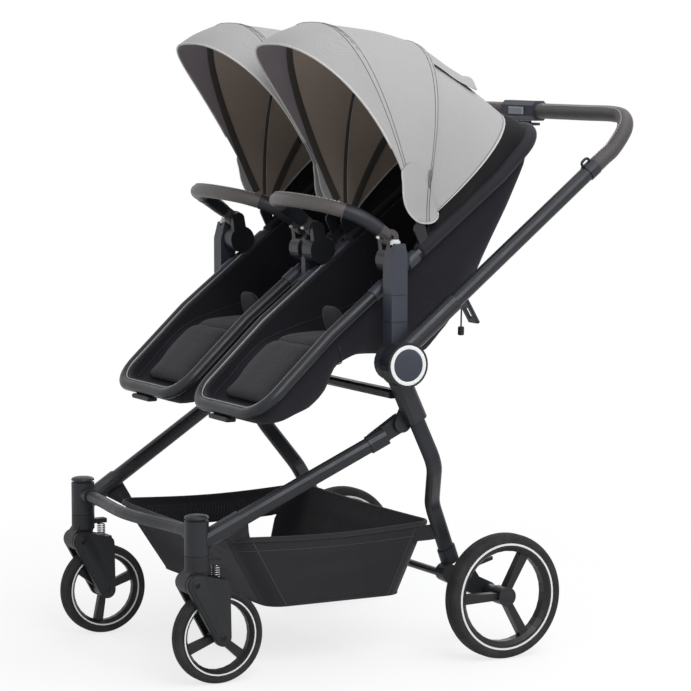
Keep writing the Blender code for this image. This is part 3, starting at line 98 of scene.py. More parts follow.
def new_piece(name, verts, faces, material, body, smooth=40.0):
    """A mesh piece that rides on a body. Edges sharper than smooth degrees stay sharp."""
    mesh = bpy.data.meshes.new(name)
    mesh.from_pydata([tuple(v) for v in verts], [], faces)
    mesh.validate()
    work = bmesh.new()
    work.from_mesh(mesh)
    bmesh.ops.recalc_face_normals(work, faces=work.faces)
    work.to_mesh(mesh)
    work.free()
    mesh.shade_smooth()
    if smooth < 180:
        mesh.set_sharp_from_angle(angle=math.radians(smooth))
    piece = bpy.data.objects.new(name, mesh)
    bpy.context.scene.collection.objects.link(piece)
    for one in material if isinstance(material, (list, tuple)) else [material]:
        mesh.materials.append(one)
    if body:
        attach(piece, body)
    return piece


def round_line(points, steps=6, closed=False):
    """A smooth line through the points."""
    points = [Vector(p) for p in points]
    count = len(points)
    out = []
    for i in range(count if closed else count - 1):
        if closed:
            a, b, c, d = (points[(i + k) % count] for k in (-1, 0, 1, 2))
        else:
            b, c = points[i], points[i + 1]
            a = points[i - 1] if i else b + (b - c)
            d = points[i + 2] if i + 2 < count else c + (c - b)
        for k in range(steps):
            t = k / steps
            out.append(0.5 * ((2 * b) + (c - a) * t + (2 * a - 5 * b + 4 * c - d) * t * t
                              + (3 * b - a - 3 * c + d) * t ** 3))
    if not closed:
        out.append(points[-1])
    return out


def tube_mesh(path, section, closed=False, up=Vector((0, 0, 1)), scale=None):
    """Vertices and faces of a section carried along a path, with its ends closed."""
    path = [Vector(p) for p in path]
    count, around = len(path), len(section)
    verts, faces = [], []
    for i, p in enumerate(path):
        before = path[i - 1] if i or closed else p
        after = path[(i + 1) % count] if i + 1 < count or closed else p
        ahead = (after - before).normalized()
        side = ahead.cross(up)
        if side.length < 1e-4:
            side = ahead.cross(Vector((1, 0, 0)))
        side.normalize()
        top = side.cross(ahead).normalized()
        grow = scale(i / max(count - 1, 1)) if scale else 1.0
        verts += [p + side * (u * grow) + top * (v * grow) for u, v in section]
    rows = count if closed else count - 1
    for i in range(rows):
        for j in range(around):
            a, b = i * around + j, i * around + (j + 1) % around
            c = ((i + 1) % count) * around + (j + 1) % around
            d = ((i + 1) % count) * around + j
            faces.append((a, b, c, d))
    if not closed:
        faces.append(tuple(range(around - 1, -1, -1)))
        faces.append(tuple((count - 1) * around + j for j in range(around)))
    return verts, faces


def circle(radius, sides=12):
    """A round section."""
    return [(radius * math.cos(2 * math.pi * k / sides), radius * math.sin(2 * math.pi * k / sides))
            for k in range(sides)]


def flat_section(width, thick, round_by=None, steps=3):
    """A rectangle with round corners, for straps and piping tapes."""
    r = min(round_by if round_by is not None else thick * 0.45, thick * 0.49, width * 0.49)
    out = []
    for cx, cy, turn in ((1, 1, 0), (-1, 1, 90), (-1, -1, 180), (1, -1, 270)):
        for k in range(steps + 1):
            a = math.radians(turn + 90 * k / steps)
            out.append((cx * (width / 2 - r) + r * math.cos(a),
                        cy * (thick / 2 - r) + r * math.sin(a)))
    return out


def tube_piece(name, path, section, material, body, slot=None, closed=False,
               up=Vector((0, 0, 1)), smooth=40.0, scale=None):
    """A tube, cord, seam or strap along a path."""
    verts, faces = tube_mesh(path, section, closed, up, scale)
    return new_piece(name, verts, faces, material, body, smooth)


def lathe_mesh(profile, centre, axis, sides=48):
    """A profile of (along the axis, radius) turned about an axis through a centre."""
    axis = Vector(axis).normalized()
    one = axis.orthogonal().normalized()
    two = axis.cross(one)
    verts, faces = [], []
    for along, radius in profile:
        for k in range(sides):
            a = 2 * math.pi * k / sides
            verts.append(Vector(centre) + axis * along
                         + (one * math.cos(a) + two * math.sin(a)) * max(radius, 1e-5))
    rows = len(profile)
    closed = profile[0] == profile[-1]
    for i in range(rows - 1):
        for k in range(sides):
            a, b = i * sides + k, i * sides + (k + 1) % sides
            faces.append((a, b, b + sides, a + sides))
    if not closed:
        faces.append(tuple(range(sides - 1, -1, -1)))
        faces.append(tuple((rows - 1) * sides + k for k in range(sides)))
    return verts, faces


def lathe_piece(name, profile, centre, axis, material, body, sides=48, smooth=35.0):
    """A turned piece: cap, ring, bolt or wheel."""
    verts, faces = lathe_mesh(profile, centre, axis, sides)
    return new_piece(name, verts, faces, material, body, smooth)


def joined(name, parts, material, body, smooth=40.0):
    """Several shells of vertices and faces as one piece."""
    verts, faces = [], []
    for more, sides in parts:
        start = len(verts)
        verts += list(more)
        faces += [tuple(start + k for k in face) for face in sides]
    return new_piece(name, verts, faces, material, body, smooth)


def grid_faces(rows, columns):
    """Faces between the points of a grid."""
    return [(i * columns + j, i * columns + j + 1, (i + 1) * columns + j + 1, (i + 1) * columns + j)
            for i in range(rows - 1) for j in range(columns - 1)]


def two_faced(outer, inner, rows, columns):
    """One closed cloth from two grids of points: its outer face, its inner face and its edge."""
    faces = grid_faces(rows, columns)
    first = len(outer)
    back = [tuple(first + k for k in reversed(face)) for face in faces]
    rim = list(range(columns)) + [i * columns + columns - 1 for i in range(1, rows)]
    rim += [(rows - 1) * columns + j for j in range(columns - 2, -1, -1)]
    rim += [i * columns for i in range(rows - 2, 0, -1)]
    edge = [(a, b, b + first, a + first) for a, b in zip(rim, rim[1:] + rim[:1])]
    return outer + inner, faces + back + edge


def sheet_area(piece):
    """Area of one face of a closed sheet."""
    return sum(p.area for p in piece.data.polygons) / 2


def declare_cloth(piece, digits=(3, 4)):
    """The area of one face of a sheet, rounded. Digits: the first is not used; the second is the
    area's."""
    area = sheet_area(piece)
    return round(area, digits[1])


print("mesh helpers ready")

# %% [markdown]
# ## Materials
# Each finish is a small node tree: a base colour with slow variation, a roughness that changes
# from place to place, and a fine bump for grain or weave. All patterns use the object's own
# metres, so a thread is as wide on the basket as on the seat. Because no pictures are used, the
# finishes stay sharp at any size.

# %% Material helpers
WARP_LEAN, WEFT_LEAN = 0.55, 0.85


def linear(red, green, blue):
    """A screen colour as the linear colour that the shader takes."""
    return tuple((c / 12.92 if c <= 0.04045 else ((c + 0.055) / 1.055) ** 2.4)
                 for c in (red / 255, green / 255, blue / 255)) + (1.0,)


class Finish:
    """A principled material that its steps add to."""

    def __init__(self, name, colour, rough, metal=0.0):
        self.material = bpy.data.materials.new(name)
        self.material.use_nodes = True
        self.tree = self.material.node_tree
        self.shader = next(n for n in self.tree.nodes if n.type == "BSDF_PRINCIPLED")
        self.shader.inputs["Metallic"].default_value = metal
        self.material.diffuse_color = linear(*colour)
        self.places = self.tree.nodes.new("ShaderNodeTexCoord").outputs["Object"]
        base = self.tree.nodes.new("ShaderNodeRGB")
        base.outputs[0].default_value = linear(*colour)
        self.colour = base.outputs[0]
        self.rough = self.number(rough)
        self.height = None

    def node(self, kind, **settings):
        made = self.tree.nodes.new(kind)
        for key, value in settings.items():
            setattr(made, key, value)
        return made

    def link(self, source, socket):
        self.tree.links.new(source, socket)

    def number(self, value):
        made = self.node("ShaderNodeValue")
        made.outputs[0].default_value = value
        return made.outputs[0]

    def math(self, operation, one, two):
        made = self.node("ShaderNodeMath", operation=operation)
        for socket, value in zip(made.inputs, (one, two)):
            if isinstance(value, (int, float)):
                socket.default_value = value
            else:
                self.link(value, socket)
        return made.outputs[0]

    def stretched(self, scale):
        """Places multiplied along each axis, for grain that runs one way."""
        made = self.node("ShaderNodeMapping")
        made.inputs["Scale"].default_value = scale
        self.link(self.places, made.inputs["Vector"])
        return made.outputs["Vector"]

    def noise(self, scale, detail=2.0, rough=0.5, places=None):
        made = self.node("ShaderNodeTexNoise")
        made.inputs["Scale"].default_value = scale
        made.inputs["Detail"].default_value = detail
        made.inputs["Roughness"].default_value = rough
        self.link(places or self.places, made.inputs["Vector"])
        return made.outputs["Fac"]

    def cells(self, scale):
        made = self.node("ShaderNodeTexVoronoi")
        made.inputs["Scale"].default_value = scale
        self.link(self.places, made.inputs["Vector"])
        return made.outputs["Distance"]

    def span(self, source, low, high, to_low=0.0, to_high=1.0):
        """A value between two limits, spread to two others."""
        made = self.node("ShaderNodeMapRange")
        for key, value in zip(("From Min", "From Max", "To Min", "To Max"),
                              (low, high, to_low, to_high)):
            made.inputs[key].default_value = value
        self.link(source, made.inputs["Value"])
        return made.outputs["Result"]

    def tint(self, mask, colour, amount=1.0):
        """Another colour where the mask is one."""
        made = self.node("ShaderNodeMix", data_type="RGBA")
        self.link(self.math("MULTIPLY", mask, amount), made.inputs[0])
        self.link(self.colour, made.inputs[6])
        made.inputs[7].default_value = linear(*colour)
        self.colour = made.outputs[2]
        return self

    def rougher(self, mask, amount):
        self.rough = self.math("ADD", self.rough, self.math("MULTIPLY", mask, amount))
        return self

    def raised(self, mask, metres):
        """Adds a bump of that height."""
        step = self.math("MULTIPLY", mask, metres)
        self.height = step if self.height is None else self.math("ADD", self.height, step)
        return self

    def weave(self, threads, height, contrast, light):
        """Plain weave: two sets of threads, each over and under the other. Both lean in depth,
        so that cloth facing any way shows them."""
        split = self.node("ShaderNodeSeparateXYZ")
        self.link(self.places, split.inputs[0])
        x, y, z = split.outputs
        waves = []
        across = self.math("ADD", x, self.math("MULTIPLY", y, WARP_LEAN))
        along = self.math("SUBTRACT", z, self.math("MULTIPLY", y, WEFT_LEAN))
        for source in (across, along):
            turn = self.math("MULTIPLY", source, threads * 2 * math.pi)
            waves.append(self.math("SINE", turn, 0.0))
        mix = self.math("MULTIPLY", waves[0], waves[1])
        pattern = self.span(mix, -1.0, 1.0)
        self.raised(pattern, height)
        return self.tint(pattern, light, contrast)

    def done(self, sheen=0.0, sheen_rough=0.5, specular=0.5):
        """Connects what was gathered, and sets the plain numbers."""
        self.link(self.colour, self.shader.inputs["Base Color"])
        self.link(self.rough, self.shader.inputs["Roughness"])
        self.shader.inputs["Sheen Weight"].default_value = sheen
        self.shader.inputs["Sheen Roughness"].default_value = sheen_rough
        self.shader.inputs["Specular IOR Level"].default_value = specular
        if self.height is not None:
            made = self.node("ShaderNodeBump")
            made.inputs["Distance"].default_value = 1.0
            made.inputs["Strength"].default_value = 1.0
            self.link(self.height, made.inputs["Height"])
            self.link(made.outputs["Normal"], self.shader.inputs["Normal"])
        return self.material


print("material helpers ready")

# %% [markdown]
# Painted tube is dark blue-grey with a soft shine: a powder coat over aluminium. Its faint
# orange-peel bump breaks up the highlights, and rubbed places are a touch lighter.

# %% Metal and plastic finishes
def painted(name, colour, rough, metal, light):
    """Powder coat or moulded plastic with a fine grain and slight rubbing."""
    made = Finish(name, colour, rough, metal)
    made.tint(made.span(made.noise(9.0, 3.0), 0.45, 0.75), light, 0.25)
    made.tint(made.span(made.noise(420.0, 2.0), 0.55, 0.70), light, 0.05)
    made.rougher(made.span(made.noise(30.0, 4.0), 0.3, 0.7, -0.5, 0.5), 0.12)
    made.raised(made.noise(900.0, 2.0), 0.00001)
    return made


def hub_finish():
    """The housings' grey, and below a band of heights the tubes' darker grey."""
    made = painted("hub_grey", HOUSING_COLOUR, 0.46, 0.0, HOUSING_RUBBED)
    place = made.node("ShaderNodeSeparateXYZ")
    made.link(made.places, place.inputs[0])
    made.tint(made.span(place.outputs["Z"], *HUB_BAND, 1.0, 0.0), TUBE_COLOUR)
    return made.done(specular=0.32)


TUBE_COLOUR, HOUSING_COLOUR, HOUSING_RUBBED = (31, 32, 36), (44, 47, 57), (60, 63, 74)
HUB_BAND = (0.489, 0.502)
tube_dark = painted("tube_dark", TUBE_COLOUR, 0.38, 0.2, (48, 49, 55)).done(specular=0.32)
housing_grey = painted("housing_grey", HOUSING_COLOUR, 0.46, 0.0, HOUSING_RUBBED)
housing_grey = housing_grey.done(specular=0.32)
hub_grey = hub_finish()
head_grey = painted("head_grey", (27, 29, 33), 0.44, 0.0, (40, 42, 47)).done(specular=0.3)
button_grey = painted("button_grey", (132, 137, 145), 0.42, 0.0, (150, 154, 162)).done()
plastic_black = painted("plastic_black", (24, 25, 28), 0.52, 0.0, (40, 41, 44)).done(specular=0.3)
rim_black = painted("rim_black", (24, 24, 26), 0.42, 0.0, (38, 38, 41)).done(specular=0.3)
ring_white = painted("ring_white", (206, 207, 206), 0.40, 0.0, (222, 223, 222)).done()

steel = Finish("steel", (150, 150, 150), 0.30, 1.0)
steel.rougher(steel.span(steel.noise(60.0, 3.0, 0.5, steel.stretched((1, 1, 14))), 0.3, 0.7,
                         -0.5, 0.5), 0.18)
steel = steel.raised(steel.noise(700.0), 0.00001).done()

tyre_black = Finish("tyre_black", (32, 32, 34), 0.82)
tyre_black.tint(tyre_black.span(tyre_black.noise(40.0, 4.0), 0.4, 0.7), (62, 61, 60), 0.35)
tyre_black.tint(tyre_black.span(tyre_black.noise(600.0, 2.0), 0.5, 0.7), (76, 75, 73), 0.22)
tyre_black = tyre_black.raised(tyre_black.noise(650.0, 3.0), 0.00012).done(specular=0.22)


def leather(name, colour, rough, light, dark):
    """Leatherette: small raised pebbles, rubbed lighter on top and dark between them."""
    made = Finish(name, colour, rough)
    grain = made.cells(900.0)
    made.tint(made.span(made.noise(14.0, 3.0), 0.4, 0.7), light, 0.5)
    made.tint(made.span(grain, 0.35, 0.75), dark, 0.5)
    made.raised(made.span(grain, 0.1, 0.8, 1.0, 0.0), 0.00022)
    return made.rougher(grain, 0.15).done(sheen=0.08)


leatherette = leather("leatherette", (50, 45, 45), 0.46, (66, 60, 60), (28, 25, 25))
# The bumper's leatherette is a lighter copy of the handle's: the extra lightness is painted
# highlight.
bumper_leather_painted_light = leather("bumper_leather_painted_light", (72, 66, 65), 0.40, (92, 86, 85), (38, 34, 34))
print("hard finishes ready")

# %% [markdown]
# The seat cloth is a black plain weave with a slight sheen; the pads are a heathered charcoal
# knit, so two greys are mixed thread by thread. The hood is a pale grey weave outside with a
# brown lining inside, and the lining of its peak is a cooler plum grey.

# %% Cloth finishes
def cloth(name, colour, light, threads, height, contrast, rough=0.92, sheen=0.25, fleck=0.2,
          fleck_size=500.0):
    """Woven cloth with flecked yarn and slow fading."""
    made = Finish(name, colour, rough)
    made.tint(made.span(made.noise(7.0, 4.0), 0.35, 0.75), light, 0.22)
    made.tint(made.span(made.noise(fleck_size, 3.0, 0.6), 0.50, 0.72), light, fleck)
    made.weave(threads, height, contrast, light)
    made.raised(made.noise(26.0, 4.0, 0.6), 0.0012)
    return made.done(sheen=sheen, sheen_rough=0.6, specular=0.14)


fabric_black = cloth("fabric_black", (21, 20, 25), (39, 38, 45), 520.0, 0.00010, 0.30,
                     sheen=0.05)
pad_charcoal = cloth("pad_charcoal", (27, 27, 31), (53, 53, 59), 420.0, 0.00016, 0.35,
                     fleck=0.6, fleck_size=380.0, sheen=0.1)
hood_grey = cloth("hood_grey", (148, 147, 147), (170, 169, 169), 640.0, 0.00008, 0.30,
                  fleck=0.35, fleck_size=700.0, sheen=0.1)
lining_brown = cloth("lining_brown", (142, 129, 118), (162, 148, 136), 700.0, 0.00006, 0.30,
                     sheen=0.1)
lining_plum = cloth("lining_plum", (128, 120, 124), (148, 140, 144), 700.0, 0.00006, 0.30,
                    sheen=0.1)
tape_brown = cloth("tape_brown", (58, 54, 51), (78, 73, 69), 900.0, 0.00008, 0.4, rough=0.8,
                   sheen=0.15)
basket_black = cloth("basket_black", (21, 21, 25), (40, 40, 45), 600.0, 0.00010, 0.35,
                     sheen=0.12)
binding_black = cloth("binding_black", (20, 20, 22), (40, 40, 43), 900.0, 0.00008, 0.4,
                      rough=0.8, sheen=0.15)
piping_light = cloth("piping_light", (150, 151, 152), (190, 191, 192), 900.0, 0.00006, 0.4,
                     rough=0.55, sheen=0.05)
cord_black = cloth("cord_black", (28, 28, 30), (54, 54, 57), 1300.0, 0.00012, 0.5, rough=0.85)
print("cloth finishes ready")

# %% [markdown]
# ## The draw cord
# A thin cord hangs from the back of the left seat, and a barrel toggle slides on it. It is limp
# and only 45 mm long, so it falls nearly straight. Its line is the same as the frame's own cord.

# %% Build the cord
CORD_POINTS = [(0.2201, 0.12716, 0.6138), (0.2212, 0.1308, 0.6112), (0.2219, 0.1336, 0.6072),
               (0.2220, 0.1346, 0.6015), (0.2218, 0.1346, 0.5930), (0.2216, 0.1345, 0.5830),
               (0.2214, 0.1344, 0.5720)]


def draw_cord():
    """The cord, twisted a little by its bump."""
    path = round_line([at(*p) for p in CORD_POINTS], 4)
    cord = tube_piece("draw_cord", path, circle(0.0015, 10), cord_black, "seat_left", "cord_black",
                      smooth=180)
    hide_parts("drawcord")
    length = sum((b - a).length for a, b in zip(path, path[1:]))
    return cord, path, length


cord, cord_path, cord_length = draw_cord()
print("cord", round(cord_length, 4), "m long")

# %% [markdown]
# ## Hard parts
# The frame's own nodes keep their shape. A narrow bevel softens their sharp edges, so that each
# one catches a thin highlight as a real moulded or machined edge does, and the rest is shaded
# smooth. These are modifiers: the frame's mesh itself isn't changed.

# %% Finish the frame's own nodes
SHARP = math.radians(32)


def smooth_group():
    """A node group that shades faces smooth and keeps the sharp edges sharp."""
    group = bpy.data.node_groups.new("smooth_by_angle", "GeometryNodeTree")
    group.interface.new_socket("Geometry", in_out="INPUT", socket_type="NodeSocketGeometry")
    group.interface.new_socket("Geometry", in_out="OUTPUT", socket_type="NodeSocketGeometry")
    source, sink = group.nodes.new("NodeGroupInput"), group.nodes.new("NodeGroupOutput")
    faces, edges = (group.nodes.new("GeometryNodeSetShadeSmooth") for _ in range(2))
    edges.domain = "EDGE"
    angle = group.nodes.new("GeometryNodeInputMeshEdgeAngle")
    small = group.nodes.new("FunctionNodeCompare")
    small.operation = "LESS_THAN"
    small.inputs["B"].default_value = SHARP
    group.links.new(source.outputs[0], faces.inputs["Geometry"])
    group.links.new(faces.outputs["Geometry"], edges.inputs["Geometry"])
    group.links.new(angle.outputs["Unsigned Angle"], small.inputs["A"])
    group.links.new(small.outputs["Result"], edges.inputs["Shade Smooth"])
    group.links.new(edges.outputs["Geometry"], sink.inputs[0])
    return group


SMOOTH = smooth_group()


def soften(piece, width):
    """Bevels the sharp edges of a piece and shades it smooth."""
    bevel = piece.modifiers.new("edges", "BEVEL")
    bevel.width, bevel.segments = width, 2
    bevel.limit_method, bevel.angle_limit = "ANGLE", SHARP
    bevel.use_clamp_overlap = True
    bevel.harden_normals = False
    shade = piece.modifiers.new("smooth", "NODES")
    shade.node_group = SMOOTH


FINISHES = {
    tube_dark: ("push_tube", "handle_bar", "rear_leg", "front_tube", "seat_ring", "rear_axle",
                "cross_bar"),
    housing_grey: ("seat_post", "handle_housing", "recline_lever", "brake_pedal",
                   "height_lever"),
    hub_grey: ("hub_casting",),
    head_grey: ("caster_head", "front_cross_bar", "axle_arm"),
    plastic_black: ("caster_swivel", "caster_fork", "legrest_lever", "cord_toggle"),
    button_grey: ("fold_button",),
    ring_white: ("post_button",),
    rim_black: ("rear_rim", "front_rim"),
    tyre_black: ("rear_tyre", "front_tyre"),
    steel: ("fork_spring",),
    leatherette: ("handle_grip", "bumper"),
    fabric_black: ("seat_shell",),
    pad_charcoal: ("seat_pad",),
    hood_grey: ("canopy",),
    basket_black: ("basket",),
    cord_black: ("drawcord",),
}


def finish_nodes():
    """Gives each frame node its finish and soft edges."""
    missed = []
    for name, node in nodes.items():
        for material, starts in FINISHES.items():
            if name.startswith(starts):
                node.data.materials.clear()
                node.data.materials.append(material)
                soften(node, 0.0006)
                break
        else:
            missed.append(name)
    return missed


print("nodes without a finish:", finish_nodes())

# %% [markdown]
# ## Hoods
# Each hood is two panels of cloth over hoops that turn about one hinge. Between the hoops the
# cloth is pulled taut, so it runs nearly flat, and in front of the last hoop a peak bulges out.
# The shape comes from a formula: hoops with their own radius and squareness, and the cloth
# between them. A grid of points gives one clean curved sheet, which flat panels never would.

# %% Hood shape
HINGE_Y, HINGE_Z = 0.0138, 0.7481
LANE = 0.1262
RIBS = ((42.0, 0.2924, 2.45), (83.2, 0.3155, 2.63), (111.8, 0.3701, 2.74), (124.7, 0.3739, 2.67))
SEAT_X = 0.157  # the middle of the left seat
NEST, REAR_STEP, HOOD_THICK = 0.0034, 0.0029, 0.002  # the rear panel nests inside the front one
PEAK_ROWS, BACK_EDGE = 7, 42.3


def hoop(degrees):
    """Radius and squareness of the hood's arch at an angle about its hinge."""
    for (low, one, square), (high, two, squarer) in zip(RIBS, RIBS[1:]):
        if degrees <= high or high == RIBS[-1][0]:
            t = min((degrees - low) / (high - low), 1.0)
            wide = math.radians(high - low) / 2
            taut = math.cos(wide) / math.cos(wide * (2 * t - 1))
            return (one + (two - one) * t) * taut, square + (squarer - square) * t


def side_swell(reach):
    """How far the hood's side stands out past the hinge lane, at a distance from the hinge."""
    span = (reach / RIBS[1][1]) ** (RIBS[1][2] / 2)
    return 0.055 * math.sqrt(max(span - 0.0145, 0.0))


def puff_at(turn, degrees):
    """How far the cloth bulges between its hoops, with slow waves, and over each hoop."""
    rise = max(math.sin(turn), 0.0)
    first, second, third, last = (rib[0] for rib in RIBS)
    if degrees > third:
        t = min((degrees - third) / (last - third), 1.0)
        puff = 0.007 * math.sin(math.pi * min(t * 0.85, 1.0)) * rise ** 2
    elif degrees > second:
        t = (degrees - second) / (third - second)
        puff = 0.004 * math.sin(math.pi * t) * rise ** 2
        puff += 0.0012 * math.sin(9.0 * turn + 5.0 * t) * math.sin(math.pi * t) * rise
    else:
        t = (degrees - first) / (second - first)
        puff = 0.004 * math.sin(math.pi * max(min(t, 1.0), 0.0)) * rise ** 2
        puff += 0.0010 * math.sin(7.0 * turn + 4.0 * t) * math.sin(math.pi * t) * rise
    for rib, high, wide in ((second, 0.0016, 1.6), (third, 0.0022, 1.8)):
        puff += high * math.exp(-((degrees - rib) / wide) ** 2) * min(rise * 3, 1.0)
    return puff


def hood_at(seat_x, turn, degrees, thin=0.0, nest=0.0):
    """A point of the hood: turn goes round the arch from the left, degrees about the hinge.
    Thin moves it inward, and nest as well, but not close to the hinge."""
    radius, square = hoop(degrees)
    rise = max(math.sin(turn), 0.0)
    u = math.copysign(abs(math.cos(turn)) ** (2 / square), math.cos(turn))
    reach = rise ** (2 / square)
    thin += nest * min(0.35 + reach * radius / 0.06, 1.0)
    rho = reach * (radius + puff_at(turn, degrees) - thin)
    swell = side_swell(reach * radius)
    angle = math.radians(degrees)
    return at(seat_x + u * (LANE - thin + swell), HINGE_Y + rho * math.cos(angle),
              HINGE_Z + rho * math.sin(angle))


def arch_turns(count):
    """Turns round the arch, close together near the hinges, where the cloth bends most."""
    first = math.asin(0.0145)
    inner = [first + (math.pi - 2 * first) * (0.5 - 0.5 * math.cos(math.pi * k / count)) * 0.55
             + (math.pi - 2 * first) * k / count * 0.45 for k in range(count + 1)]
    return [0.0038, 0.008] + inner + [math.pi - 0.008, math.pi - 0.0038]


def brim_angle(turn):
    """Where the hood's front edge runs: furthest forward at the top of the arch."""
    return 113.8 + 10.9 * max(math.sin(turn), 0.0) ** 1.25


def hood_angles(front):
    """Rows of a panel as functions of the turn: angle about the hinge."""
    first, seam, rib = (r[0] for r in RIBS[:3])
    if not front:
        steps = [first + (seam - first) * k / 16 for k in range(17)] + [seam + 1.5]
        return [lambda turn, a=a: a for a in steps]

    def last(turn):
        return min(rib, brim_angle(turn))

    rows = [lambda turn: seam - 1.5, lambda turn: seam - 0.7]
    rows += [lambda turn, t=k / 14: seam + (last(turn) - seam) * t for k in range(15)]
    rows += [lambda turn, t=k / PEAK_ROWS: last(turn) + (brim_angle(turn) - last(turn)) * t
             for k in range(1, PEAK_ROWS + 1)]
    return rows


def hood_panel(side, front):
    """One panel of a hood: cloth outside, lining inside, joined round its edges."""
    seat_x, where = SIDES[side] * SEAT_X, "front" if front else "rear"
    step, nest = (0.0, 0.0) if front else (REAR_STEP, NEST)
    turns, rows = arch_turns(44), hood_angles(front)
    outer, inner = ([hood_at(seat_x, turn, row(turn), thin, nest) for row in rows for turn in turns]
                    for thin in (step, step + HOOD_THICK))
    verts, faces = two_faced(outer, inner, len(rows), len(turns))
    piece = new_piece(f"hood_{where}_{side}", verts, faces,
                      [hood_grey, lining_brown, lining_plum],
                      f"hood_{side}" if front else f"seat_{side}", 60)
    wide = len(turns) - 1
    shown = (len(rows) - 1) * wide
    peak = shown - PEAK_ROWS * wide if front else shown
    for k in range(shown):
        piece.data.polygons[shown + k].material_index = 1 if k < peak else 2
    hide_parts(f"canopy_{where}_{side}")
    return piece


for side in SIDES:
    for front in (True, False):
        piece = hood_panel(side, front)
        area = declare_cloth(piece)
        print(piece.name, "cloth area", area, "m2")

# %% [markdown]
# The seams of a hood are sewn double: two dark lines of stitches with a raised tape between
# them, which hides the hoop. The peak is bound with a light tape, and inside, dark tapes follow
# the hoops. Each is a thin tube laid just on the cloth, which keeps it crisp at any distance.

# %% Hood seams, bindings and the rolled window cover
def hood_line(side, row, thin, cut, nest):
    """Points along a hood at an angle that may change with the turn, cut short at both ends."""
    return [hood_at(SIDES[side] * SEAT_X, turn, row(turn), thin, nest)
            for turn in arch_turns(48)[cut:-cut]]


def hood_trim(side):
    """Seams, bindings and tapes of one hood."""
    front, rear = f"hood_{side}", f"seat_{side}"

    def lay(name, row, body, depth, section, material, cut=2, **shape):
        path = hood_line(side, row, depth, cut, NEST if body == rear else 0.0)
        tube_piece(f"hood_{name}_{side}", path, section, material, body, "hood_grey", **shape)

    for label, angle, body, depth in (("peak_a", 111.8, front, 0.0), ("peak_b", 109.9, front, 0.0),
                                      ("rear_a", 82.5, front, 0.0), ("rear_b", 84.0, front, 0.0),
                                      ("back", 43.4, rear, REAR_STEP)):
        lay(f"seam_{label}", lambda turn, a=angle: min(a, brim_angle(turn) - 0.8), body,
            depth - 0.0001, circle(0.00055, 6), seam_grey, smooth=180)
    lay("brim", brim_angle, front, 0.001, circle(0.0019, 10), brim_tape, cut=9, smooth=180)
    lay("back_edge", lambda turn: BACK_EDGE, rear, 0.0042, circle(0.0018, 8), brim_tape,
        smooth=180)
    for label, angle, body, depth in (("peak", 111.6, front, 0.0034),
                                      ("middle", 84.0, front, 0.0034),
                                      ("back", 60.0, rear, 0.0072)):
        lay(f"tape_{label}", lambda turn, a=angle: a, body, depth, flat_section(0.013, 0.0022),
            tape_brown, cut=3, up=Vector((1, 0, 0)), smooth=50)


def window_cover(side):
    """The flap over the hood's window, rolled a little at its lower edge."""
    seat_x, rows, columns = SIDES[side] * SEAT_X, 16, 26
    top, under = [], []
    for i in range(rows):
        t = i / (rows - 1)
        angle = 82.0 - 23.5 * t
        lift = 0.0006 + 0.0022 * t ** 2 + 0.0006 * math.sin(3 * math.pi * t)
        thick = 0.0014 + 0.0062 * math.exp(-((t - 0.93) / 0.06) ** 2)
        for j in range(columns):
            v = 2 * j / (columns - 1) - 1
            half = 0.50 - 0.07 * t - 0.05 * max(0.0, (t - 0.8) / 0.2) ** 3
            turn = math.pi / 2 - v * half
            wave = 0.0012 * math.sin(9 * v + 4 * t) * t
            edge = 1 - abs(v) ** 10
            top.append(hood_at(seat_x, turn, angle, REAR_STEP - lift - wave - thick * edge))
            under.append(hood_at(seat_x, turn, angle, REAR_STEP - lift - wave + 0.0004))
    verts, faces = two_faced(top, under, rows, columns)
    return new_piece(f"window_cover_{side}", verts, faces, hood_grey, f"seat_{side}",
                     60)


seam_grey = cloth("seam_grey", (92, 90, 88), (120, 118, 116), 2000.0, 0.00002, 0.2, sheen=0.05)
brim_tape = cloth("brim_tape", (176, 173, 170), (198, 196, 193), 1500.0, 0.00004, 0.3, sheen=0.1)
for side in SIDES:
    hood_trim(side)
    area = declare_cloth(window_cover(side))
    print("hood", side, "trimmed, window cover", area, "m2")

# %% [markdown]
# At each hinge the cloth of a hood ends in a rounded tab that covers the bracket. It is a patch
# of points spread from its middle to a drawn outline, just outside the hood's side, and its top
# sinks into the hood so that the two read as one cloth.

# %% Hood tabs over the hinges
TAB_OUTLINE = ((-0.046, 0.100), (-0.0435, 0.078), (-0.041, 0.058), (-0.0355, 0.042),
               (-0.0285, 0.031), (-0.0205, 0.0225), (-0.011, 0.0150), (0.0, 0.0105),
               (0.012, 0.0090), (0.022, 0.0110), (0.029, 0.0170), (0.030, 0.025),
               (0.026, 0.034), (0.018, 0.050), (0.006, 0.075), (-0.012, 0.100), (-0.030, 0.112))
TAB_MIDDLE = Vector((-0.008, 0.045, 0))
TAB_SINK_FROM, TAB_SINK_OVER = 0.062, 0.035  # where the tab begins to sink into the hood


def tab_at(seat_x, end, spot, lift):
    """A point of a tab: end is 1 at the hood's left hinge and -1 at its right one."""
    reach = math.hypot(spot.x, spot.y)
    high = min(max((spot.y - TAB_SINK_FROM) / TAB_SINK_OVER, 0.0), 1.0)
    out = LANE + side_swell(reach) + 0.0085 * math.exp(-(reach / 0.022) ** 2)
    out += 0.0007 - 0.0013 * high + lift
    return at(seat_x + end * out, HINGE_Y + spot.x, HINGE_Z + spot.y)


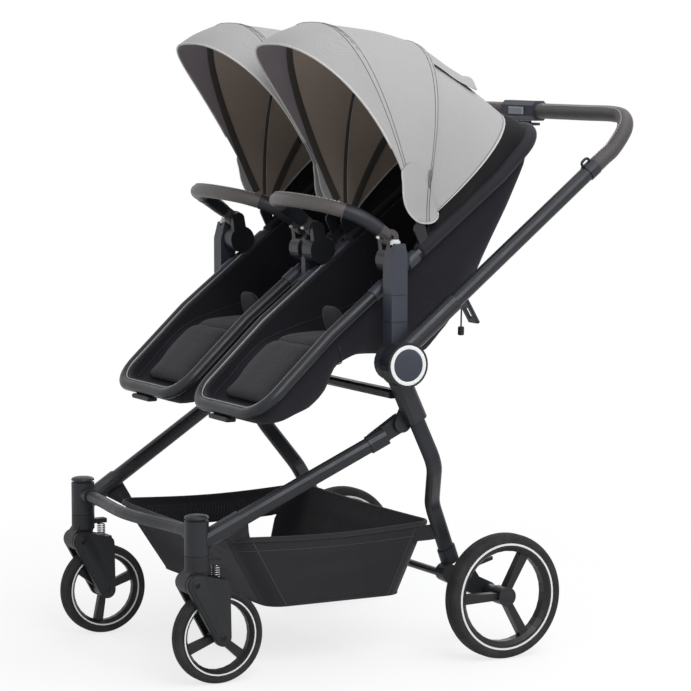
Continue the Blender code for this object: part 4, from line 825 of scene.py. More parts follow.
def hood_tab(side, end, label):
    """A round cloth tab with a bound lower edge."""
    seat_x, rings = SIDES[side] * SEAT_X, 8
    outline = round_line([Vector((y, z, 0)) for y, z in TAB_OUTLINE], 4, closed=True)
    around = len(outline)
    verts, under = [], []
    for shell, lift in ((verts, 0.0), (under, -0.0013)):
        shell.append(tab_at(seat_x, end, TAB_MIDDLE, lift))
        for k in range(1, rings + 1):
            shell += [tab_at(seat_x, end, TAB_MIDDLE.lerp(p, k / rings), lift) for p in outline]
    faces = [(0, 1 + j, 1 + (j + 1) % around) for j in range(around)]
    for k in range(rings - 1):
        a = 1 + k * around
        faces += [(a + j, a + (j + 1) % around, a + around + (j + 1) % around, a + around + j)
                  for j in range(around)]
    first = len(verts)
    edge = first - around
    lower = [tuple(first + v for v in reversed(face)) for face in faces]
    faces = faces + lower + [(edge + j, edge + (j + 1) % around, first + edge + (j + 1) % around,
                              first + edge + j) for j in range(around)]
    new_piece(f"hood_tab_{label}_{side}", verts + under, faces, hood_grey, f"hood_{side}",
              60)
    rim = [tab_at(seat_x, end, p, -0.0003) for p in outline[:46]]
    tube_piece(f"hood_tab_edge_{label}_{side}", rim, circle(0.0014, 8), brim_tape, f"hood_{side}",
               "hood_grey", smooth=180)
    seams = []
    for shift in (-0.0022, 0.0022):
        line = [Vector((0.0085 + shift + 0.004 * (k / 9) ** 2, 0.100 - 0.088 * k / 9, 0))
                for k in range(10)]
        seams.append(tube_mesh([tab_at(seat_x, end, p, 0.0003) for p in line], circle(0.0006, 6)))
    joined(f"hood_tab_seam_{label}_{side}", seams, seam_grey, f"hood_{side}", 180)


for side in SIDES:
    for end, label in ((1, "left"), (-1, "right")):
        hood_tab(side, end, label)
print("four hood tabs")

# %% [markdown]
# ## Seat tubs
# The seat is a hammock of black cloth that hangs from the ring tube: narrow and deep at the
# back, with a step at the calf. A profile of rows along the ring, each a squared-off curve
# from rail to rail, gives the tub. A light reflective piping is sewn where the cloth meets the
# rail, and the upper half of the ring wears a padded black cover.

# %% Tub shape
RUNS = ((43.0, 0.19), (38.0, 0.418), (44.0, 0.11))
RING_LENGTH = sum(length for slope, length in RUNS)
RING_R, RING_HALF, CORNER = 0.010, 0.125, 0.052
TUB = ((0.0136, -0.2786, 0.4480, -0.2776, 0.4530), (0.021, -0.2765, 0.4340, -0.2685, 0.4490),
       (0.034, -0.2560, 0.4250, -0.2500, 0.4520), (0.060, -0.2150, 0.4290, -0.2180, 0.4800),
       (0.100, -0.1720, 0.4440, -0.1860, 0.5170), (0.145, -0.1400, 0.4760, -0.1580, 0.5380),
       (0.190, -0.1200, 0.5150, -0.1230, 0.5440), (0.250, -0.0700, 0.5320, -0.0680, 0.5440),
       (0.320, -0.0050, 0.5280, -0.0060, 0.5400), (0.390, 0.0600, 0.5320, 0.0500, 0.5420),
       (0.445, 0.0990, 0.5660, 0.0880, 0.5740), (0.510, 0.1380, 0.6280, 0.1300, 0.6340),
       (0.570, 0.1760, 0.7000, 0.1680, 0.7050), (0.625, 0.2080, 0.7700, 0.2000, 0.7740),
       (0.675, 0.2390, 0.8400, 0.2310, 0.8430), (0.698, 0.2500, 0.8830, 0.2430, 0.8840),
       (0.7050, 0.2480, 0.8950, 0.2450, 0.8920))


def on_ring(along):
    """(y, z) of the ring tube's middle line, seen from the side."""
    y, z = -0.292, 0.447
    for k, (slope, length) in enumerate(RUNS):
        step = along if k == 2 else min(along, length)
        y += step * math.cos(math.radians(slope))
        z += step * math.sin(math.radians(slope))
        along -= step
        if along <= 0:
            break
    return y, z


def ring_half(along, inset):
    """Half width of the ring at a distance along it, less an inset."""
    edge = min(along, RING_LENGTH - along)
    straight = RING_HALF - inset
    if edge >= CORNER:
        return straight
    radius = CORNER - inset
    drop = min(radius, CORNER - edge)
    return straight - radius + math.sqrt(radius * radius - drop * drop)


def tub_row(t):
    """A row of the profile at a share t of the tub, smoothed between the given rows."""
    spot = t * (len(TUB) - 1)
    i = min(int(spot), len(TUB) - 2)
    f = spot - i
    a, b, c, d = (TUB[min(max(i + k, 0), len(TUB) - 1)] for k in (-1, 0, 1, 2))
    smooth = tuple(0.5 * (2 * q + (r - p) * f + (2 * p - 5 * q + 4 * r - s) * f * f
                          + (3 * q - p - 3 * r + s) * f ** 3) for p, q, r, s in zip(a, b, c, d))
    return tuple(0.35 * s + 0.65 * (q + (r - q) * f) for s, q, r in zip(smooth, b, c))


def tub_at(seat_x, t, turn, inner, lift=0.0):
    """A point of the tub's inner or outer face. Turn 0 is the left rail, half a turn the right."""
    along, low_y, low_z, over_y, over_z = tub_row(t)
    inset = RING_R + 0.003 + (0.004 if inner else 0.0) + lift
    half = ring_half(along, inset)
    y, z = on_ring(along)
    u = math.copysign(abs(math.cos(turn)) ** (2 / 4.5), math.cos(turn)) * half
    depth = abs(math.sin(turn)) ** (2 / 4.5)
    to_y, to_z = (over_y, over_z) if inner else (low_y, low_z)
    away = Vector((0, y - to_y, z - to_z)).normalized() * lift * depth
    return at(seat_x + u, y + depth * (to_y - y) + away.y, z + depth * (to_z - z) + away.z)


def tub(side):
    """The whole tub as one closed sheet of cloth, with soft creases on its outside."""
    seat_x, rows, columns = SIDES[side] * SEAT_X, 72, 36
    outer, inner = [], []
    for i in range(rows):
        t = i / (rows - 1)
        for j in range(columns):
            turn = math.pi * j / (columns - 1)
            wall = math.sin(turn) * math.sin(math.pi * t)
            crease = 0.0016 * math.sin(34 * t + 2.2 * math.sin(3 * turn)) * wall
            crease += 0.0010 * math.sin(61 * t + 7 * turn) * wall
            crease += 0.0014 * math.exp(-((t - 0.42 - 0.10 * math.sin(turn)) / 0.018) ** 2) * wall
            crease += 0.0014 * math.exp(-((t - 0.60 + 0.08 * math.sin(turn)) / 0.022) ** 2) * wall
            outer.append(tub_at(seat_x, t, turn, False, 0.0006 + crease))
            inner.append(tub_at(seat_x, t, turn, True, 0.0002 - crease * 0.5))
    verts, faces = two_faced(outer, inner, rows, columns)
    piece = new_piece(f"seat_tub_{side}", verts, faces, fabric_black, f"seat_{side}",
                      60)
    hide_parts(f"seat_shell_{side}")
    return piece


for side in SIDES:
    area = declare_cloth(tub(side))
    print("tub", side, "cloth area", area, "m2")

# %% [markdown]
# What is sewn to a tub follows the ring, so one function gives any line along it, moved inward
# and up off the tube's middle. A light piping and a dark binding edge the cloth, a padded
# cover wraps the upper ring, and plain seams cross the tub. Two strips of cloth close what
# would otherwise be slits: a collar up to the hood, and a hem behind the top of the tub.

# %% Piping, ring cover and the tub's seams
RAIL_END = 0.335  # how far the bare rail and its piping run along the ring
ACROSS_RING = Vector((0, -0.6, 0.8))


def ring_line(seat_x, low, high, inward, upward):
    """Lines along the left and the right of the ring, round its front if low is 0 and round its
    top if high is its length, moved inward and up off its middle."""
    spots = [low + (high - low) * k / 60 for k in range(61)]
    dense = [CORNER * (1 - math.cos(math.pi / 2 * k / 10)) for k in range(11)]
    if low == 0:
        spots = dense + [s for s in spots if s > CORNER]
    if high >= RING_LENGTH - 1e-6:
        spots = [s for s in spots if s < RING_LENGTH - CORNER]
        spots += [RING_LENGTH - s for s in reversed(dense)]
    line = []
    for along in spots:
        y, z = on_ring(along)
        next_y, next_z = on_ring(along + 0.002)
        slope = math.atan2(next_z - z, next_y - y)
        share = max(0.0, 1 - min(along, RING_LENGTH - along) / CORNER)
        half = RING_HALF - inward - (CORNER - inward) * (1 - math.sqrt(1 - share * share))
        push = inward * share * (1 if along < RING_LENGTH / 2 else -1)
        y, z = y + push * math.cos(slope), z + push * math.sin(slope)
        line.append((half, y - upward * math.sin(slope), z + upward * math.cos(slope)))
    return [[at(seat_x + end * u, y, z) for u, y, z in line] for end in (1, -1)]


def ring_loop(seat_x, low, high, inward, upward):
    """One line along both sides of the ring and round the end where they meet."""
    left, right = ring_line(seat_x, low, high, inward, upward)
    return right[::-1] + left[1:] if low == 0 else left + right[::-1][1:]


collar_black = cloth("collar_black", (12, 12, 14), (25, 25, 28), 700.0, 0.00008, 0.3, rough=0.85,
                     sheen=0.03)
cover_black = cloth("cover_black", (24, 24, 28), (40, 40, 46), 700.0, 0.00008, 0.3, rough=0.7,
                    sheen=0.05)


def seat_trim(side):
    """Piping along the rails, the padded cover of the upper ring and the seams of the tub."""
    seat_x = SIDES[side] * SEAT_X

    def lay(name, path, radius, sides, material, up=Vector((0, 0, 1))):
        tube_piece(f"{name}_{side}", path, circle(radius, sides), material, f"seat_{side}",
                   "fabric_black", up=up, smooth=180)

    lay("rail_piping", ring_loop(seat_x, 0.0, RAIL_END, 0.0094, 0.0062), 0.00105, 8, piping_light)
    lay("tub_edge", ring_loop(seat_x, 0.0, 0.70, 0.0120, 0.0020), 0.0022, 8, binding_black)
    lay("ring_cover", ring_loop(seat_x, 0.405, RING_LENGTH, 0.0010, 0.0006), 0.0122, 20,
        cover_black, ACROSS_RING)
    lay("ring_welt", ring_loop(seat_x, 0.412, RING_LENGTH, 0.0120, 0.0065), 0.0042, 12,
        collar_black, ACROSS_RING)
    for label, turn in (("left", 0.30), ("right", math.pi - 0.30)):
        line = [tub_at(seat_x, 0.10 + 0.85 * k / 60, turn, True, 0.0008) for k in range(61)]
        lay(f"tub_seam_{label}", line, 0.0008, 6, binding_black)
    for label, t in (("seat", 0.60), ("lumbar", 0.74), ("top", 0.90)):
        line = [tub_at(seat_x, t, math.pi * (0.06 + 0.88 * k / 40), True, 0.0006)
                for k in range(41)]
        lay(f"tub_cross_seam_{label}", line, 0.0007, 6, binding_black)
    line = [tub_at(seat_x, 0.385, math.pi * (0.03 + 0.94 * k / 40), False, -0.0004)
            for k in range(41)]
    lay("tub_under_seam", line, 0.0010, 6, binding_black)


def evenly(points, count):
    """The same line with its points at equal distances."""
    far = [0.0]
    for a, b in zip(points, points[1:]):
        far.append(far[-1] + (b - a).length)
    out, i = [], 0
    for k in range(count):
        want = far[-1] * k / (count - 1)
        while i < len(far) - 2 and far[i + 1] < want:
            i += 1
        step = max(far[i + 1] - far[i], 1e-9)
        out.append(points[i].lerp(points[i + 1], min(max((want - far[i]) / step, 0.0), 1.0)))
    return out


def thickened(name, verts, faces, thick, material, body, smooth=60.0):
    """A closed piece of cloth from one side of it, made as thick as asked."""
    mesh = bpy.data.meshes.new("work")
    mesh.from_pydata([tuple(v) for v in verts], [], faces)
    mesh.validate()
    work = bmesh.new()
    work.from_mesh(mesh)
    bmesh.ops.recalc_face_normals(work, faces=work.faces)
    work.normal_update()
    outer = [v.co.copy() for v in work.verts]
    inner = [v.co - v.normal * thick for v in work.verts]
    shown = [tuple(v.index for v in f.verts) for f in work.faces]
    first = len(outer)
    under = [tuple(first + i for i in reversed(face)) for face in shown]
    rim = [(e.verts[0].index, e.verts[1].index) for e in work.edges if len(e.link_faces) == 1]
    work.free()
    edge = [(a, b, b + first, a + first) for a, b in rim]
    return new_piece(name, outer + inner, shown + under + edge, material, body, smooth)


def hood_collar(side):
    """Black cloth between the seat's ring and the back edge of the hood, a little puffed."""
    seat_x, columns, rows = SIDES[side] * SEAT_X, 110, 7
    turns = [0.085 + (math.pi - 0.17) * k / 160 for k in range(161)]
    top = evenly([hood_at(seat_x, turn, BACK_EDGE, 0.0066) for turn in turns], columns)
    low = evenly(ring_loop(seat_x, 0.418, RING_LENGTH, 0.0, 0.0095), columns)
    verts = []
    for i in range(rows):
        t = i / (rows - 1)
        for j in range(columns):
            along = (top[min(j + 1, columns - 1)] - top[max(j - 1, 0)]).normalized()
            across = top[j] - low[j]
            out = along.cross(across).normalized()
            if out.x * (low[j].x - seat_x) + out.y < 0:
                out = -out
            wave = 0.0010 * math.sin(0.55 * j + 2.5 * t) * math.sin(math.pi * t)
            verts.append(low[j] + across * t + out * (0.0040 * math.sin(math.pi * t) + wave))
    return thickened(f"hood_collar_{side}", verts, grid_faces(rows, columns), 0.0022,
                     collar_black, f"seat_{side}")


def tub_hem(side):
    """Cloth between the top edge of the tub's back and the ring above it."""
    seat_x, rows, columns = SIDES[side] * SEAT_X, 4, 37
    y, z = on_ring(RING_LENGTH)
    verts = []
    for i in range(rows):
        for j in range(columns):
            low = tub_at(seat_x, 0.985, math.pi * (0.13 + 0.74 * j / (columns - 1)), True, 0.0004)
            verts.append(low.lerp(at(low.x, y, z), i / (rows - 1)))
    return thickened(f"tub_hem_{side}", verts, grid_faces(rows, columns), 0.0022, fabric_black,
                     f"seat_{side}")


for side in SIDES:
    seat_trim(side)
    declare_cloth(tub_hem(side), (4, 5))
    declare_cloth(hood_collar(side))
print("rail piping, covers, collars and seams done")

# %% [markdown]
# ## Seat pads
# A thin quilted pad lies on the seat and down the calf rest. A real pad is two layers of cloth
# sewn round a foam, so it swells between its seams. Here a cloth simulation blows the frame's
# own pad up slightly, each point is stopped before it has moved far, and then the cloth is drawn
# in along the one seam across, on which a thread is laid. The second pad is a copy of the first,
# because the real ones are the same.

# %% Swell the pads
PAD_VOXEL, PAD_SWELL, PAD_FRAMES = 0.0048, 0.0035, 16


def swollen_pad(source):
    """The frame's pad, remeshed evenly and swollen by a short cloth simulation."""
    mesh = bpy.data.meshes.new("pad_work")
    work = bmesh.new()
    work.from_mesh(source.data)
    bmesh.ops.triangulate(work, faces=work.faces)
    work.to_mesh(mesh)
    work.free()
    pad = bpy.data.objects.new("pad_work", mesh)
    bpy.context.scene.collection.objects.link(pad)
    remesh = pad.modifiers.new("even", "REMESH")
    remesh.mode, remesh.voxel_size = "VOXEL", PAD_VOXEL
    pad = applied(pad)
    before = np.array([v.co for v in pad.data.vertices])
    puff = pad.modifiers.new("puff", "CLOTH")
    puff.settings.quality = 6
    puff.settings.use_pressure = True
    puff.settings.uniform_pressure_force = 4.0
    puff.settings.effector_weights.gravity = 0.0
    puff.settings.tension_stiffness = puff.settings.compression_stiffness = 15
    puff.point_cache.frame_start, puff.point_cache.frame_end = 1, PAD_FRAMES
    for step in range(1, PAD_FRAMES + 1):
        bpy.context.scene.frame_set(step)
    pad = applied(pad)
    bpy.context.scene.frame_set(1)
    after = np.array([v.co for v in pad.data.vertices])
    move = after - before
    far = np.linalg.norm(move, axis=1, keepdims=True)
    move *= np.minimum(1.0, PAD_SWELL / np.maximum(far, 1e-9))
    for v, p in zip(pad.data.vertices, before + move):
        v.co = p
    soften_mesh(pad, 6)
    return pad


def applied(piece):
    """A new object with the modifiers of the old one baked in."""
    shown = piece.evaluated_get(bpy.context.evaluated_depsgraph_get())
    mesh = bpy.data.meshes.new_from_object(shown)
    made = bpy.data.objects.new(piece.name, mesh)
    bpy.context.scene.collection.objects.link(made)
    bpy.data.objects.remove(piece)
    return made


def soften_mesh(piece, rounds):
    """Evens out a mesh a little, so that no voxel steps are left."""
    work = bmesh.new()
    work.from_mesh(piece.data)
    for _ in range(rounds):
        bmesh.ops.smooth_vert(work, verts=work.verts, factor=0.4, use_axis_x=True,
                              use_axis_y=True, use_axis_z=True)
    work.to_mesh(piece.data)
    work.free()


# The seam across the pad: where its ends are, how far it bows and half its length
PAD_SEAM_Y, PAD_SEAM_BOW, PAD_SEAM_HALF = -0.149, 0.009, 0.082
PAD_CREASE, PAD_CREASE_HALF = 0.0035, 0.006


def pad_seam_y(u):
    """Where the pad's seam runs at u metres from the middle of the seat."""
    return PAD_SEAM_Y - PAD_SEAM_BOW * (1 - (u / PAD_SEAM_HALF) ** 2)


def crease_pad(mesh):
    """Draws the top of the left pad in along its seam."""
    for v in mesh.vertices:
        if v.normal.z > 0.3:
            gap = v.co.y - pad_seam_y(v.co.x - SEAT_X)
            v.co -= v.normal * PAD_CREASE * math.exp(-(gap / PAD_CREASE_HALF) ** 2)


def on_pad(tree, seat_x, lift):
    """Drops points of the seam straight down onto the pad, and lifts them a little."""
    out = []
    for k in range(31):
        u = PAD_SEAM_HALF * (2 * k / 30 - 1)
        hit = tree.ray_cast(at(seat_x + u, pad_seam_y(u), 0.75), Vector((0, 0, -1)))
        if hit[0] is not None:
            out.append(hit[0] + hit[1] * lift)
    return out


def make_pads():
    """Both pads, with a piped edge and a seam across where the seat rolls over."""
    work = swollen_pad(nodes["seat_pad_left"])
    crease_pad(work.data)
    made = {}
    for side in SIDES:
        mesh = work.data.copy()
        shift = (SIDES[side] - 1) * SEAT_X
        for v in mesh.vertices:
            v.co.x += shift
        pad = bpy.data.objects.new(f"seat_cushion_{side}", mesh)
        bpy.context.scene.collection.objects.link(pad)
        mesh.materials.clear()
        mesh.materials.append(pad_charcoal)
        mesh.shade_smooth()
        finer = pad.modifiers.new("finer", "SUBSURF")
        finer.levels = finer.render_levels = 1
        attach(pad, f"seat_{side}")
        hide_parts(f"seat_pad_{side}")
        made[side] = pad
    bpy.data.objects.remove(work)
    return made


pads = make_pads()
for side, pad in pads.items():
    seat_x = SIDES[side] * SEAT_X
    tree = BVHTree.FromObject(pad, bpy.context.evaluated_depsgraph_get())
    line = on_pad(tree, seat_x, 0.0002)
    tube_piece(f"pad_seam_{side}", line, circle(0.0012, 6), binding_black,
               f"seat_{side}", "pad_charcoal", smooth=180)
print("pads:", {side: len(pad.data.vertices) for side, pad in pads.items()}, "points each")

# %% [markdown]
# ## Basket
# The basket under the seats is a bag of strong black cloth on four straps. Its sides lean in
# towards a smaller floor, hang in shallow folds and sag between the corners. The far side is a
# net with an opening under it. Rings of points from the rim down and across the floor give one
# skin, faces are left out where the opening is, and the skin is then made 3 mm thick.

# %% Basket skin
RIM_HALF, RIM_FRONT, RIM_BACK, RIM_Z = 0.238, -0.312, 0.069, 0.236
LOW_HALF, LOW_FRONT, LOW_BACK, LOW_Z = 0.218, -0.236, 0.023, 0.113
BASKET_CORNER = 0.032
LEVELS = (0.0, 0.06, 0.14, 0.22, 0.30, 0.374, 0.45, 0.54, 0.63, 0.732, 0.82, 0.90, 0.96, 1.0)
FLOOR_SHARES = (0.94, 0.84, 0.66, 0.46, 0.24, 0.06)
OPENING_ROWS, OPENING_COLUMNS = range(5, 9), range(57, 70)


def basket_sides(t):
    """Half width, front, back and height of the basket at a share t of its depth."""
    return [a + (b - a) * t for a, b in
            ((RIM_HALF, LOW_HALF), (RIM_FRONT, LOW_FRONT), (RIM_BACK, LOW_BACK), (RIM_Z, LOW_Z))]


def basket_ring(t):
    """Points round the basket at a share t of its depth, evenly along each side, each with its
    share of the sag, the turn of its side and the share of that side before it."""
    half, front, back, z = basket_sides(t)
    corner, steps = BASKET_CORNER, 22
    out = []
    sides = (((half, front + corner), (half, back - corner), (half - corner, back - corner), 0),
             ((half - corner, back), (-half + corner, back), (-half + corner, back - corner), 90),
             ((-half, back - corner), (-half, front + corner), (-half + corner, front + corner),
              180),
             ((-half + corner, front), (half - corner, front), (half - corner, front + corner),
              270))
    for start, end, middle, turn in sides:
        for k in range(steps):
            s = k / steps
            out.append((start[0] + (end[0] - start[0]) * s, start[1] + (end[1] - start[1]) * s, z,
                        math.sin(math.pi * s), turn, s))
        for k in range(6):
            a = math.radians(turn + 90 * k / 6)
            out.append((middle[0] + corner * math.cos(a), middle[1] + corner * math.sin(a), z,
                        0.0, turn, 1.0))
    return out


def wall_point(spot, t):
    """Sags and folds a point of the wall."""
    x, y, z, sag, turn, s = spot
    depth = math.sin(math.pi * t)
    out = {0: (1, 0), 90: (0, 1), 180: (-1, 0), 270: (0, -1)}[turn]
    push = -0.0050 * sag * depth
    if turn == 270:
        push -= 0.016 * depth * sag * (0.4 + 0.6 * (1 - s))
    push += 0.0016 * math.sin(2 * math.pi * (2.6 * t + 0.35 * s)) * sag * depth
    push += 0.0016 * math.exp(-((s - 0.18 - 0.25 * (1 - t)) / 0.035) ** 2) * depth
    push -= 0.0014 * math.exp(-((s - 0.80 + 0.20 * (1 - t)) / 0.03) ** 2) * depth
    drop = 0.0055 * sag * (1 - t) * (1 if turn in (0, 180) else 0.4)
    return at(x + out[0] * push, y + out[1] * push, z - drop)


def wall_ring(t):
    """The ring of points with its sags and folds."""
    return [wall_point(spot, t) for spot in basket_ring(t)]


def squashed(piece):
    """Gives a piece its own copy of its mesh."""
    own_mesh(piece)
    return piece


def basket_skin():
    """Vertices and faces of the basket's outside, without the faces of the side opening."""
    verts, faces = [], []
    for t in LEVELS:
        verts += wall_ring(t)
    low = basket_ring(1.0)
    count, middle_y = len(low), (LOW_FRONT + LOW_BACK) / 2
    for share in FLOOR_SHARES:
        drop = 0.0075 * (1 - share ** 2)
        verts += [at(x * share, middle_y + (y - middle_y) * share, z - 0.001 - drop)
                  for x, y, z, *_ in low]
    rows = len(LEVELS) + len(FLOOR_SHARES)
    for i in range(rows - 1):
        for j in range(count):
            a, b = i * count + j, i * count + (j + 1) % count
            if i in OPENING_ROWS and j in OPENING_COLUMNS:
                continue
            faces.append((a, b, b + count, a + count))
    faces.append(tuple((rows - 1) * count + j for j in range(count)))
    return verts, faces


verts, faces = basket_skin()
basket = thickened("storage_basket", verts, faces, 0.003, basket_black, "rear_frame",
                   50)
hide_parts("basket")
area = declare_cloth(basket)
squashed(basket)
print("basket cloth area", area, "m2")

# %% [markdown]
# The basket's rim and opening are bound with tape, its seams are ridges of thread, and the far side
# carries a net band. Straps run from the rim to the legs, and in front a gusset of cloth reaches up
# to each front tube. The gussets cross the folding joint.

# %% Basket trim
def basket_tube(name, path, section, material, **shape):
    """A seam, tape or strap of the basket."""
    return tube_piece(name, path, section, material, "rear_frame", "basket_black", **shape)


def basket_trim():
    """Binding, seams and straps."""
    basket_tube("basket_rim", wall_ring(0.0), flat_section(0.0052, 0.0085, 0.0024), binding_black,
                closed=True, smooth=180)
    low = [p + Vector((0, 0, 0.001)) for p in wall_ring(1.0)]
    squashed(basket_tube("basket_floor_seam", low, circle(0.0018, 8), binding_black, closed=True,
                         smooth=180))
    squashed(basket_tube("basket_hem_seam", wall_ring(0.17), circle(0.0009, 6), seam_black,
                         closed=True, smooth=180))
    for k, j in enumerate((22, 28, 50, 56, 78, 84, 106, 0)):
        line = [wall_ring(t)[j] for t in np.linspace(0.02, 0.99, 30)]
        squashed(basket_tube(f"basket_seam_{k}", line, circle(0.0010, 6), seam_black, smooth=180))
    for side, k in SIDES.items():
        strap = [at(k * 0.2350, 0.036, 0.2195), at(k * 0.2375, 0.052, 0.2200),
                 at(k * 0.2385, 0.066, 0.2205), at(k * 0.2370, 0.0765, 0.2210)]
        basket_tube(f"basket_strap_{side}", round_line(strap, 5),
                    flat_section(0.0030, 0.027, 0.0013), binding_black, up=Vector((0, 0, 1)),
                    smooth=50)


def basket_gusset(side):
    """Cloth from the basket's front corner up to the underside of the front tube."""
    k, rows, columns = SIDES[side], 9, 12
    rim_a, rim_b = at(k * 0.2370, -0.281, 0.2300), at(k * 0.2250, -0.3055, 0.2300)
    tube_a, tube_b = at(k * 0.2565, -0.295, 0.2680), at(k * 0.2460, -0.337, 0.2490)
    verts = []
    for i in range(rows):
        t = i / (rows - 1)
        for j in range(columns):
            s = j / (columns - 1)
            point = (rim_a.lerp(rim_b, s)).lerp(tube_a.lerp(tube_b, s), t)
            belly = math.sin(math.pi * t) * math.sin(math.pi * s)
            fold = 0.0012 * math.sin(9 * s + 3 * t) * math.sin(math.pi * t)
            verts.append(point + Vector((-k * (0.0045 * belly + fold), 0, -0.002 * belly)))
    piece = thickened(f"basket_gusset_{side}", verts, grid_faces(rows, columns), 0.0024,
                      basket_black, None)
    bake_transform(piece)
    declare_cloth(piece, (3, 5))


def far_wall(s, t, inward):
    """A point of the far side wall: s runs from the back to the front."""
    half, front, back, z = basket_sides(t)
    front, back = front + BASKET_CORNER, back - BASKET_CORNER
    spot = (-half, back + (front - back) * s, z, math.sin(math.pi * s), 180, s)
    return wall_point(spot, t) + Vector((inward, 0, 0))


def net_band():
    """The net on the far side, over the basket's opening: crossing strands on both faces."""
    strands = []
    for inward in (-0.0004, 0.0034):
        for k in range(44):
            for slant in (0.035, -0.035):
                line = [far_wall(0.05 + 0.90 * k / 43 + slant * (i / 5 - 0.5), 0.08 + 0.27 * i / 5,
                                 inward) for i in range(6)]
                strands.append(tube_mesh(line, circle(0.0006, 4)))
    squashed(joined("basket_net", strands, seam_black, "rear_frame"))
    low, high = OPENING_ROWS.start, OPENING_ROWS.stop
    near, far = OPENING_COLUMNS.start, OPENING_COLUMNS.stop
    spots = [(low, j) for j in range(near, far + 1)] + [(i, far) for i in range(low + 1, high)]
    spots += [(high, j) for j in range(far, near - 1, -1)]
    spots += [(i, near) for i in range(high - 1, low, -1)]
    edge = [wall_ring(LEVELS[i])[j] for i, j in spots]
    squashed(basket_tube("basket_opening_binding", edge, circle(0.0026, 8), binding_black,
                         closed=True, smooth=180))


seam_black = cloth("seam_black", (46, 46, 49), (70, 70, 74), 1200.0, 0.00003, 0.3, sheen=0.1)
basket_trim()
for side in SIDES:
    basket_gusset(side)
net_band()
print("basket trim done")

# %% [markdown]
# ## Wheels
# Foam tyres are turned parts, so a profile is spun about the axle with many more sides than a
# solid for collision needs. Two shallow grooves run round the tread. A smooth band dresses the
# rim's inner face, and a pale painted ring sits where the rim meets the tyre on both faces.

# %% Tyres, rim bands, pale rings and caps
CASTER_X = 0.236
# Place from the middle and from the front, tyre radius and half width, then the rim: its
# radius, the radius inside it and half its width
WHEELS = {"front": (CASTER_X, -0.343, 0.080, 0.014, 0.0665, 0.0620, 0.0122),
          "rear": (0.295, 0.1765, 0.109, 0.017, 0.0905, 0.0858, 0.0152)}
RINGS = {"front": (0.0634, 0.0663), "rear": (0.0894, 0.0931)}


def tyre_profile(radius, half, rim):
    """The tyre's outline from its inner face, over the tread, and back."""
    deep = radius - rim
    right = [(half * 0.80, rim + 0.0003), (half * 0.88, rim + 0.0030),
             (half * 0.97, rim + 0.35 * deep), (half, rim + 0.55 * deep),
             (half * 0.95, rim + 0.76 * deep),
             (half * 0.80, radius - 0.0018), (half * 0.58, radius - 0.0005), (half * 0.40, radius),
             (half * 0.37, radius - 0.0013), (half * 0.30, radius - 0.0013), (half * 0.27, radius)]
    left = [(-x, r) for x, r in reversed(right)]
    return right + left + [right[0]]


def wheel_trim(where, side):
    """Everything that dresses one wheel."""
    x, y, radius, half, rim, inner, face = WHEELS[where]
    centre, body = at(SIDES[side] * x, y, radius), f"{where}_wheel_{side}"
    tyre = lathe_piece(f"{where}_tread_{side}", tyre_profile(radius, half, rim), centre, (1, 0, 0),
                       tyre_black, body, 112, 40)
    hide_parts(f"{where}_tyre_{side}")
    band = [(-face, inner), (face, inner), (face, rim + 0.0004), (-face, rim + 0.0004),
            (-face, inner)]
    lathe_piece(f"{where}_rim_band_{side}", band, centre, (1, 0, 0), rim_black, body,
                112, 30)
    low, high = RINGS[where]
    rings = []
    for out in (1, -1):
        near, far = out * (face - 0.0004), out * (face + 0.0006)
        section = [(near, low), (far, low + 0.0003), (far, high - 0.0003), (near, high),
                   (near, low)]
        rings.append(lathe_mesh(section, centre, (1, 0, 0), 112))
    joined(f"{where}_wheel_rings_{side}", rings, ring_white, body, 30)
    if where == "rear":
        cap = [(0.0150, 0.0168), (0.0161, 0.0168), (0.0166, 0.0162), (0.0168, 0.0120),
               (0.0165, 0.0112), (0.0168, 0.0104), (0.0170, 0.0)]
        lathe_piece(f"rear_hub_cap_{side}", cap, centre, (SIDES[side], 0, 0), plastic_black,
                    body, 48, 30)


for side in SIDES:
    wheel_trim("front", side)
    wheel_trim("rear", side)
print("wheels dressed")

# %% [markdown]
# ## Casters
# A domed cap closes each caster head, and two thin dark joints run round the swivel below it. The
# fork's outer face carries a slimmer raised arm from the pivot to the axle, held by screws. Its
# outline is the hull of two circles.

# %% Caster caps, joints, fork arms and screws
def hull(circles, sides=28):
    """The outline round some circles, each given as (y, z, radius)."""
    dots = [(y + r * math.cos(2 * math.pi * k / sides), z + r * math.sin(2 * math.pi * k / sides))
            for y, z, r in circles for k in range(sides)]
    return [dots[k] for k in convex_hull_2d([Vector(d) for d in dots])]


def plate(outline, start, end):
    """A flat plate in the side plane, from one x to another."""
    count = len(outline)
    verts = [at(x, y, z) for x in (start, end) for y, z in outline]
    faces = [tuple(range(count)), tuple(range(2 * count - 1, count - 1, -1))]
    faces += [(k, count + k, count + (k + 1) % count, (k + 1) % count) for k in range(count)]
    return verts, faces


screw_black = painted("screw_black", (22, 22, 24), 0.26, 0.6, (46, 46, 48)).done(specular=0.5)
SCREW = ((0.0, 0.0050), (0.0011, 0.0050), (0.0015, 0.0044), (0.0014, 0.0026), (0.0006, 0.0022),
         (0.0006, 0.0))
HEAD_Y, SPRING_Y = -0.380, -0.345
PIVOT, AXLE = (-0.391, 0.172), (-0.343, 0.080)


